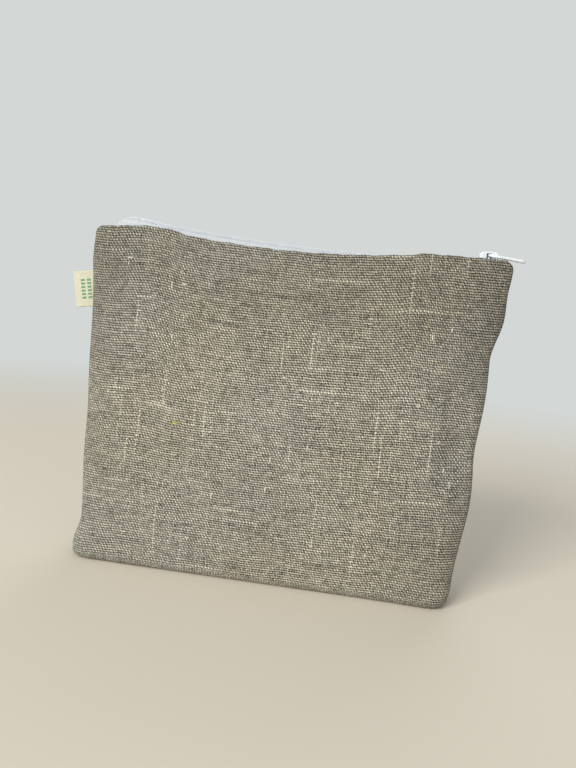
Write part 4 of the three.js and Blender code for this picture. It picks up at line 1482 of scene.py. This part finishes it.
def yarn(name, colour):
    """Spun thread or loose fibre of one colour"""
    _, g, bsdf = shader(name)
    place = g.node("ShaderNodeTexCoord").outputs["Object"]
    fibre = g.noise(place, 6000.0, 3.0)
    dark = tuple(v * 0.7 for v in colour[:3]) + (1,)
    g.feed(bsdf.inputs["Base Color"], g.mix(fibre, dark, colour))
    g.feed(bsdf.inputs["Normal"], g.node("ShaderNodeBump", {
        "Strength": 0.6, "Distance": 0.05 * MM, "Height": fibre}))
    bsdf.inputs["Roughness"].default_value = 0.85
    bsdf.inputs["Sheen Weight"].default_value = 0.2


def named(material):
    """A material by its name"""
    return bpy.data.materials[material]


class POUCH_OT_linen(PouchOperator, bpy.types.Operator):
    """Make the two linen panels"""
    bl_idname = "pouch.linen"
    bl_label = "Linen panels"

    def execute(self, context):
        for back in (False, True):
            linen_panel(back, named("Linen"))
        return {"FINISHED"}


class POUCH_OT_fibres(PouchOperator, bpy.types.Operator):
    """Make the slubs, loose fibres and seam stitches of the linen"""
    bl_idname = "pouch.fibres"
    bl_label = "Slubs and fibres"

    def execute(self, context):
        draw = random.Random(SEED)
        paths, radii = slubs(draw)
        tubes("slubs", paths, radii, 6, named("Slub"))
        tubes("loose_fibres", fibres(draw), 0.035 * MM, 3, named("Loose fibre"))
        tubes("straw_tuft", straw_tuft(draw), 0.11 * MM, 5, named("Straw"))
        tubes("seam_stitches", seam_stitches(), 0.11 * MM, 6, named("Loose fibre"))
        return {"FINISHED"}


class POUCH_OT_lining(PouchOperator, bpy.types.Operator):
    """Make the two lining panels"""
    bl_idname = "pouch.lining"
    bl_label = "Lining panels"

    def execute(self, context):
        for back in (False, True):
            lining_panel(back, named("Lining cotton"))
        return {"FINISHED"}


class POUCH_OT_zip(PouchOperator, bpy.types.Operator):
    """Make the tapes, coils, cords and sewing threads of the zip"""
    bl_idname = "pouch.zip"
    bl_label = "Zip chain and tape"

    def execute(self, context):
        for side in (-1, 1):
            tape(side, named("Zip tape"))
            coil(side, named("Zip nylon"))
            core_cord(side, named("Zip tape"))
            sewing(side, named("Yarn"))
        return {"FINISHED"}


class POUCH_OT_slider(PouchOperator, bpy.types.Operator):
    """Make the slider, its pull tab and the stops"""
    bl_idname = "pouch.slider"
    bl_label = "Slider and stops"

    def execute(self, context):
        rounded_nodes = (
            ("slider_body", "slider", "slider", 0.22), ("slider_crown", "bridge", "slider", 0.18),
            ("pull_tab", "tab", "pull", 0.26), ("top_stop_front", "stop_front", "pouch", 0.12),
            ("top_stop_back", "stop_back", "pouch", 0.12),
            ("bottom_stop", "stop_low", "pouch", 0.16))
        for node, name, body, width in rounded_nodes:
            piece = softened(node, name, width * MM, named("White enamel"))
            if name == "stop_low":
                piece.data.transform(Matrix.Translation((0, 0, -STOP_SINK)))
            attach(piece, body)
        # The spring's dark steel shows in the crown's hole as painted shade
        spring = softened("lock_spring", "spring", 0.06 * MM, named("Spring steel and painted shade"))
        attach(spring, "slider")
        return {"FINISHED"}


class POUCH_OT_tag(PouchOperator, bpy.types.Operator):
    """Make the folded tag in the left seam"""
    bl_idname = "pouch.tag"
    bl_label = "Side tag"

    def execute(self, context):
        side_tag(named("Tag cotton"))
        return {"FINISHED"}


class POUCH_OT_stage(PouchOperator, bpy.types.Operator):
    """Set the floor, the lamps and the camera"""
    bl_idname = "pouch.stage"
    bl_label = "Floor, light and camera"

    def execute(self, context):
        floor()
        light()
        camera()
        return {"FINISHED"}


# Stage

BACKGROUND = (0.65, 0.68, 0.67, 1)
WORLD_LIGHT = (0.80, 0.86, 0.88, 1)
WORLD_STRENGTH = 0.45  # what lights the object, the background itself stays at 1
FLOOR_HALF = 3.0
FLOOR_TONES = ((0.71, 0.63, 0.52, 1), (0.74, 0.66, 0.55, 1))
FLOOR_FADES = (0.28, 1.1)  # distances from the middle between which the floor turns pale
# Lamps: name, place, what it points at, size, power and colour
LAMPS = (
    ("key", (-0.85, -1.55, 1.00), (0, 0, 0.06), 0.9, 38.0, (1.0, 1.0, 0.98)),
    ("fill", (0.9, -0.9, 0.5), (0, 0, 0.08), 1.0, 1.6, (0.95, 0.98, 1.0)),
    ("rear", (0.2, 1.1, 0.9), (0, 0, 0.12), 0.9, 4.0, (1.0, 1.0, 1.0)),
)


def floor():
    """A plain floor that turns into the background with distance"""
    mesh = bpy.data.meshes.new("floor")
    far = FLOOR_HALF
    mesh.from_pydata([(-far, -far, 0), (far, -far, 0), (far, far, 0), (-far, far, 0)],
                     [], [(0, 1, 2, 3)])
    piece = bpy.data.objects.new("floor", mesh)
    bpy.context.scene.collection.objects.link(piece)
    material, g, bsdf = shader("Floor")
    place = g.node("ShaderNodeTexCoord").outputs["Object"]
    tone = g.noise(place, 3.0, 2.0)
    g.feed(bsdf.inputs["Base Color"], g.mix(tone, *FLOOR_TONES))
    bsdf.inputs["Roughness"].default_value = 0.75
    away = g.node("ShaderNodeVectorMath", {"Vector": place}, operation="LENGTH").outputs["Value"]
    seen = g.node("ShaderNodeLightPath").outputs["Is Camera Ray"]
    share = g.mul(g.ramp(away, *FLOOR_FADES), seen)
    glow = g.node("ShaderNodeEmission", {"Color": BACKGROUND})
    both = g.node("ShaderNodeMixShader", {0: share, 1: bsdf.outputs[0], 2: glow.outputs[0]})
    g.feed(material.node_tree.nodes["Material Output"].inputs["Surface"], both)
    mesh.materials.append(material)


def lamp(name, place, target, size, power, colour):
    """A square lamp that points at its target"""
    data = bpy.data.lights.new(name, "AREA")
    data.size, data.energy, data.color = size, power, colour
    piece = bpy.data.objects.new(name, data)
    bpy.context.scene.collection.objects.link(piece)
    piece.location = place
    aim = Vector(target) - Vector(place)
    piece.rotation_euler = aim.to_track_quat("-Z", "Y").to_euler()


def light():
    """The lamps, and a world that is paler to the eye than it is bright"""
    for row in LAMPS:
        lamp(*row)
    world = bpy.context.scene.world or bpy.data.worlds.new("World")
    bpy.context.scene.world = world
    world.use_nodes = True
    g = Graph(world.node_tree)
    back = world.node_tree.nodes["Background"]
    path = g.node("ShaderNodeLightPath").outputs
    seen = g.math("MAXIMUM", path["Is Camera Ray"], g.math(
        "MAXIMUM", path["Is Glossy Ray"], path["Is Transmission Ray"]))
    g.feed(back.inputs["Color"], g.mix(seen, WORLD_LIGHT, BACKGROUND))
    g.feed(back.inputs["Strength"],
           g.mul_add(seen, 1 - WORLD_STRENGTH, WORLD_STRENGTH))


CAMERA_AT = (0.0450, -0.3675, 0.1471)
CAMERA_TURN = (6.37, 6.64, 5.62)  # degrees round, up and roll
PICTURE_WIDE, PICTURE_HIGH = 576, 768  # in pixels, as is the focal length
FOCAL = 700
SENSOR = 36
CAMERA_LENS = FOCAL * SENSOR / PICTURE_HIGH


def camera():
    """The camera at the photograph's angle"""
    data = bpy.data.cameras.new("camera")
    view = bpy.data.objects.new("camera", data)
    bpy.context.scene.collection.objects.link(view)
    turn, rise, roll = (math.radians(v) for v in CAMERA_TURN)
    back = Vector((math.sin(turn) * math.cos(rise), -math.cos(turn) * math.cos(rise),
                   math.sin(rise)))
    right = (-back).cross(Vector((0, 0, 1))).normalized()
    up = right.cross(-back)
    across = math.cos(roll) * right + math.sin(roll) * up
    above = -math.sin(roll) * right + math.cos(roll) * up
    view.matrix_world = Matrix((
        (across.x, above.x, back.x, CAMERA_AT[0]), (across.y, above.y, back.y, CAMERA_AT[1]),
        (across.z, above.z, back.z, CAMERA_AT[2]), (0, 0, 0, 1)))
    data.sensor_fit = "VERTICAL"
    data.sensor_height = SENSOR
    data.sensor_width = SENSOR * PICTURE_WIDE / PICTURE_HIGH
    data.lens = CAMERA_LENS
    data.clip_start = 0.01
    bpy.context.scene.camera = view
    bpy.context.scene.view_settings.view_transform = "Standard"


class POUCH_PT_panel(bpy.types.Panel):
    """Sizes, colours and steps of the pouch"""
    bl_idname = "POUCH_PT_panel"
    bl_label = "Linen zip pouch"
    bl_space_type = "VIEW_3D"
    bl_region_type = "UI"
    bl_category = "Pouch"

    def draw(self, context):
        for values in (context.scene.pouch_sizes, context.scene.pouch_colours):
            box = self.layout.box()
            for name in values.__annotations__:
                box.prop(values, name)
        for step in STEPS:
            self.layout.operator(step.bl_idname)


STEPS = (POUCH_OT_stage, POUCH_OT_materials, POUCH_OT_linen, POUCH_OT_fibres,
         POUCH_OT_lining, POUCH_OT_zip, POUCH_OT_slider, POUCH_OT_tag)
CLASSES = (PouchSizes, PouchColours, *STEPS, POUCH_PT_panel)


def register():
    for item in CLASSES:
        bpy.utils.register_class(item)
    bpy.types.Scene.pouch_sizes = bpy.props.PointerProperty(type=PouchSizes)
    bpy.types.Scene.pouch_colours = bpy.props.PointerProperty(type=PouchColours)


def unregister():
    del bpy.types.Scene.pouch_sizes
    del bpy.types.Scene.pouch_colours
    for item in reversed(CLASSES):
        bpy.utils.unregister_class(item)


def main():
    """Build the pouch step by step"""
    register()
    bpy.ops.pouch.stage()
    bpy.ops.pouch.materials()
    bpy.ops.pouch.linen()
    bpy.ops.pouch.fibres()
    bpy.ops.pouch.lining()
    bpy.ops.pouch.zip()
    bpy.ops.pouch.slider()
    bpy.ops.pouch.tag()


if __name__ == "__main__":
    main()
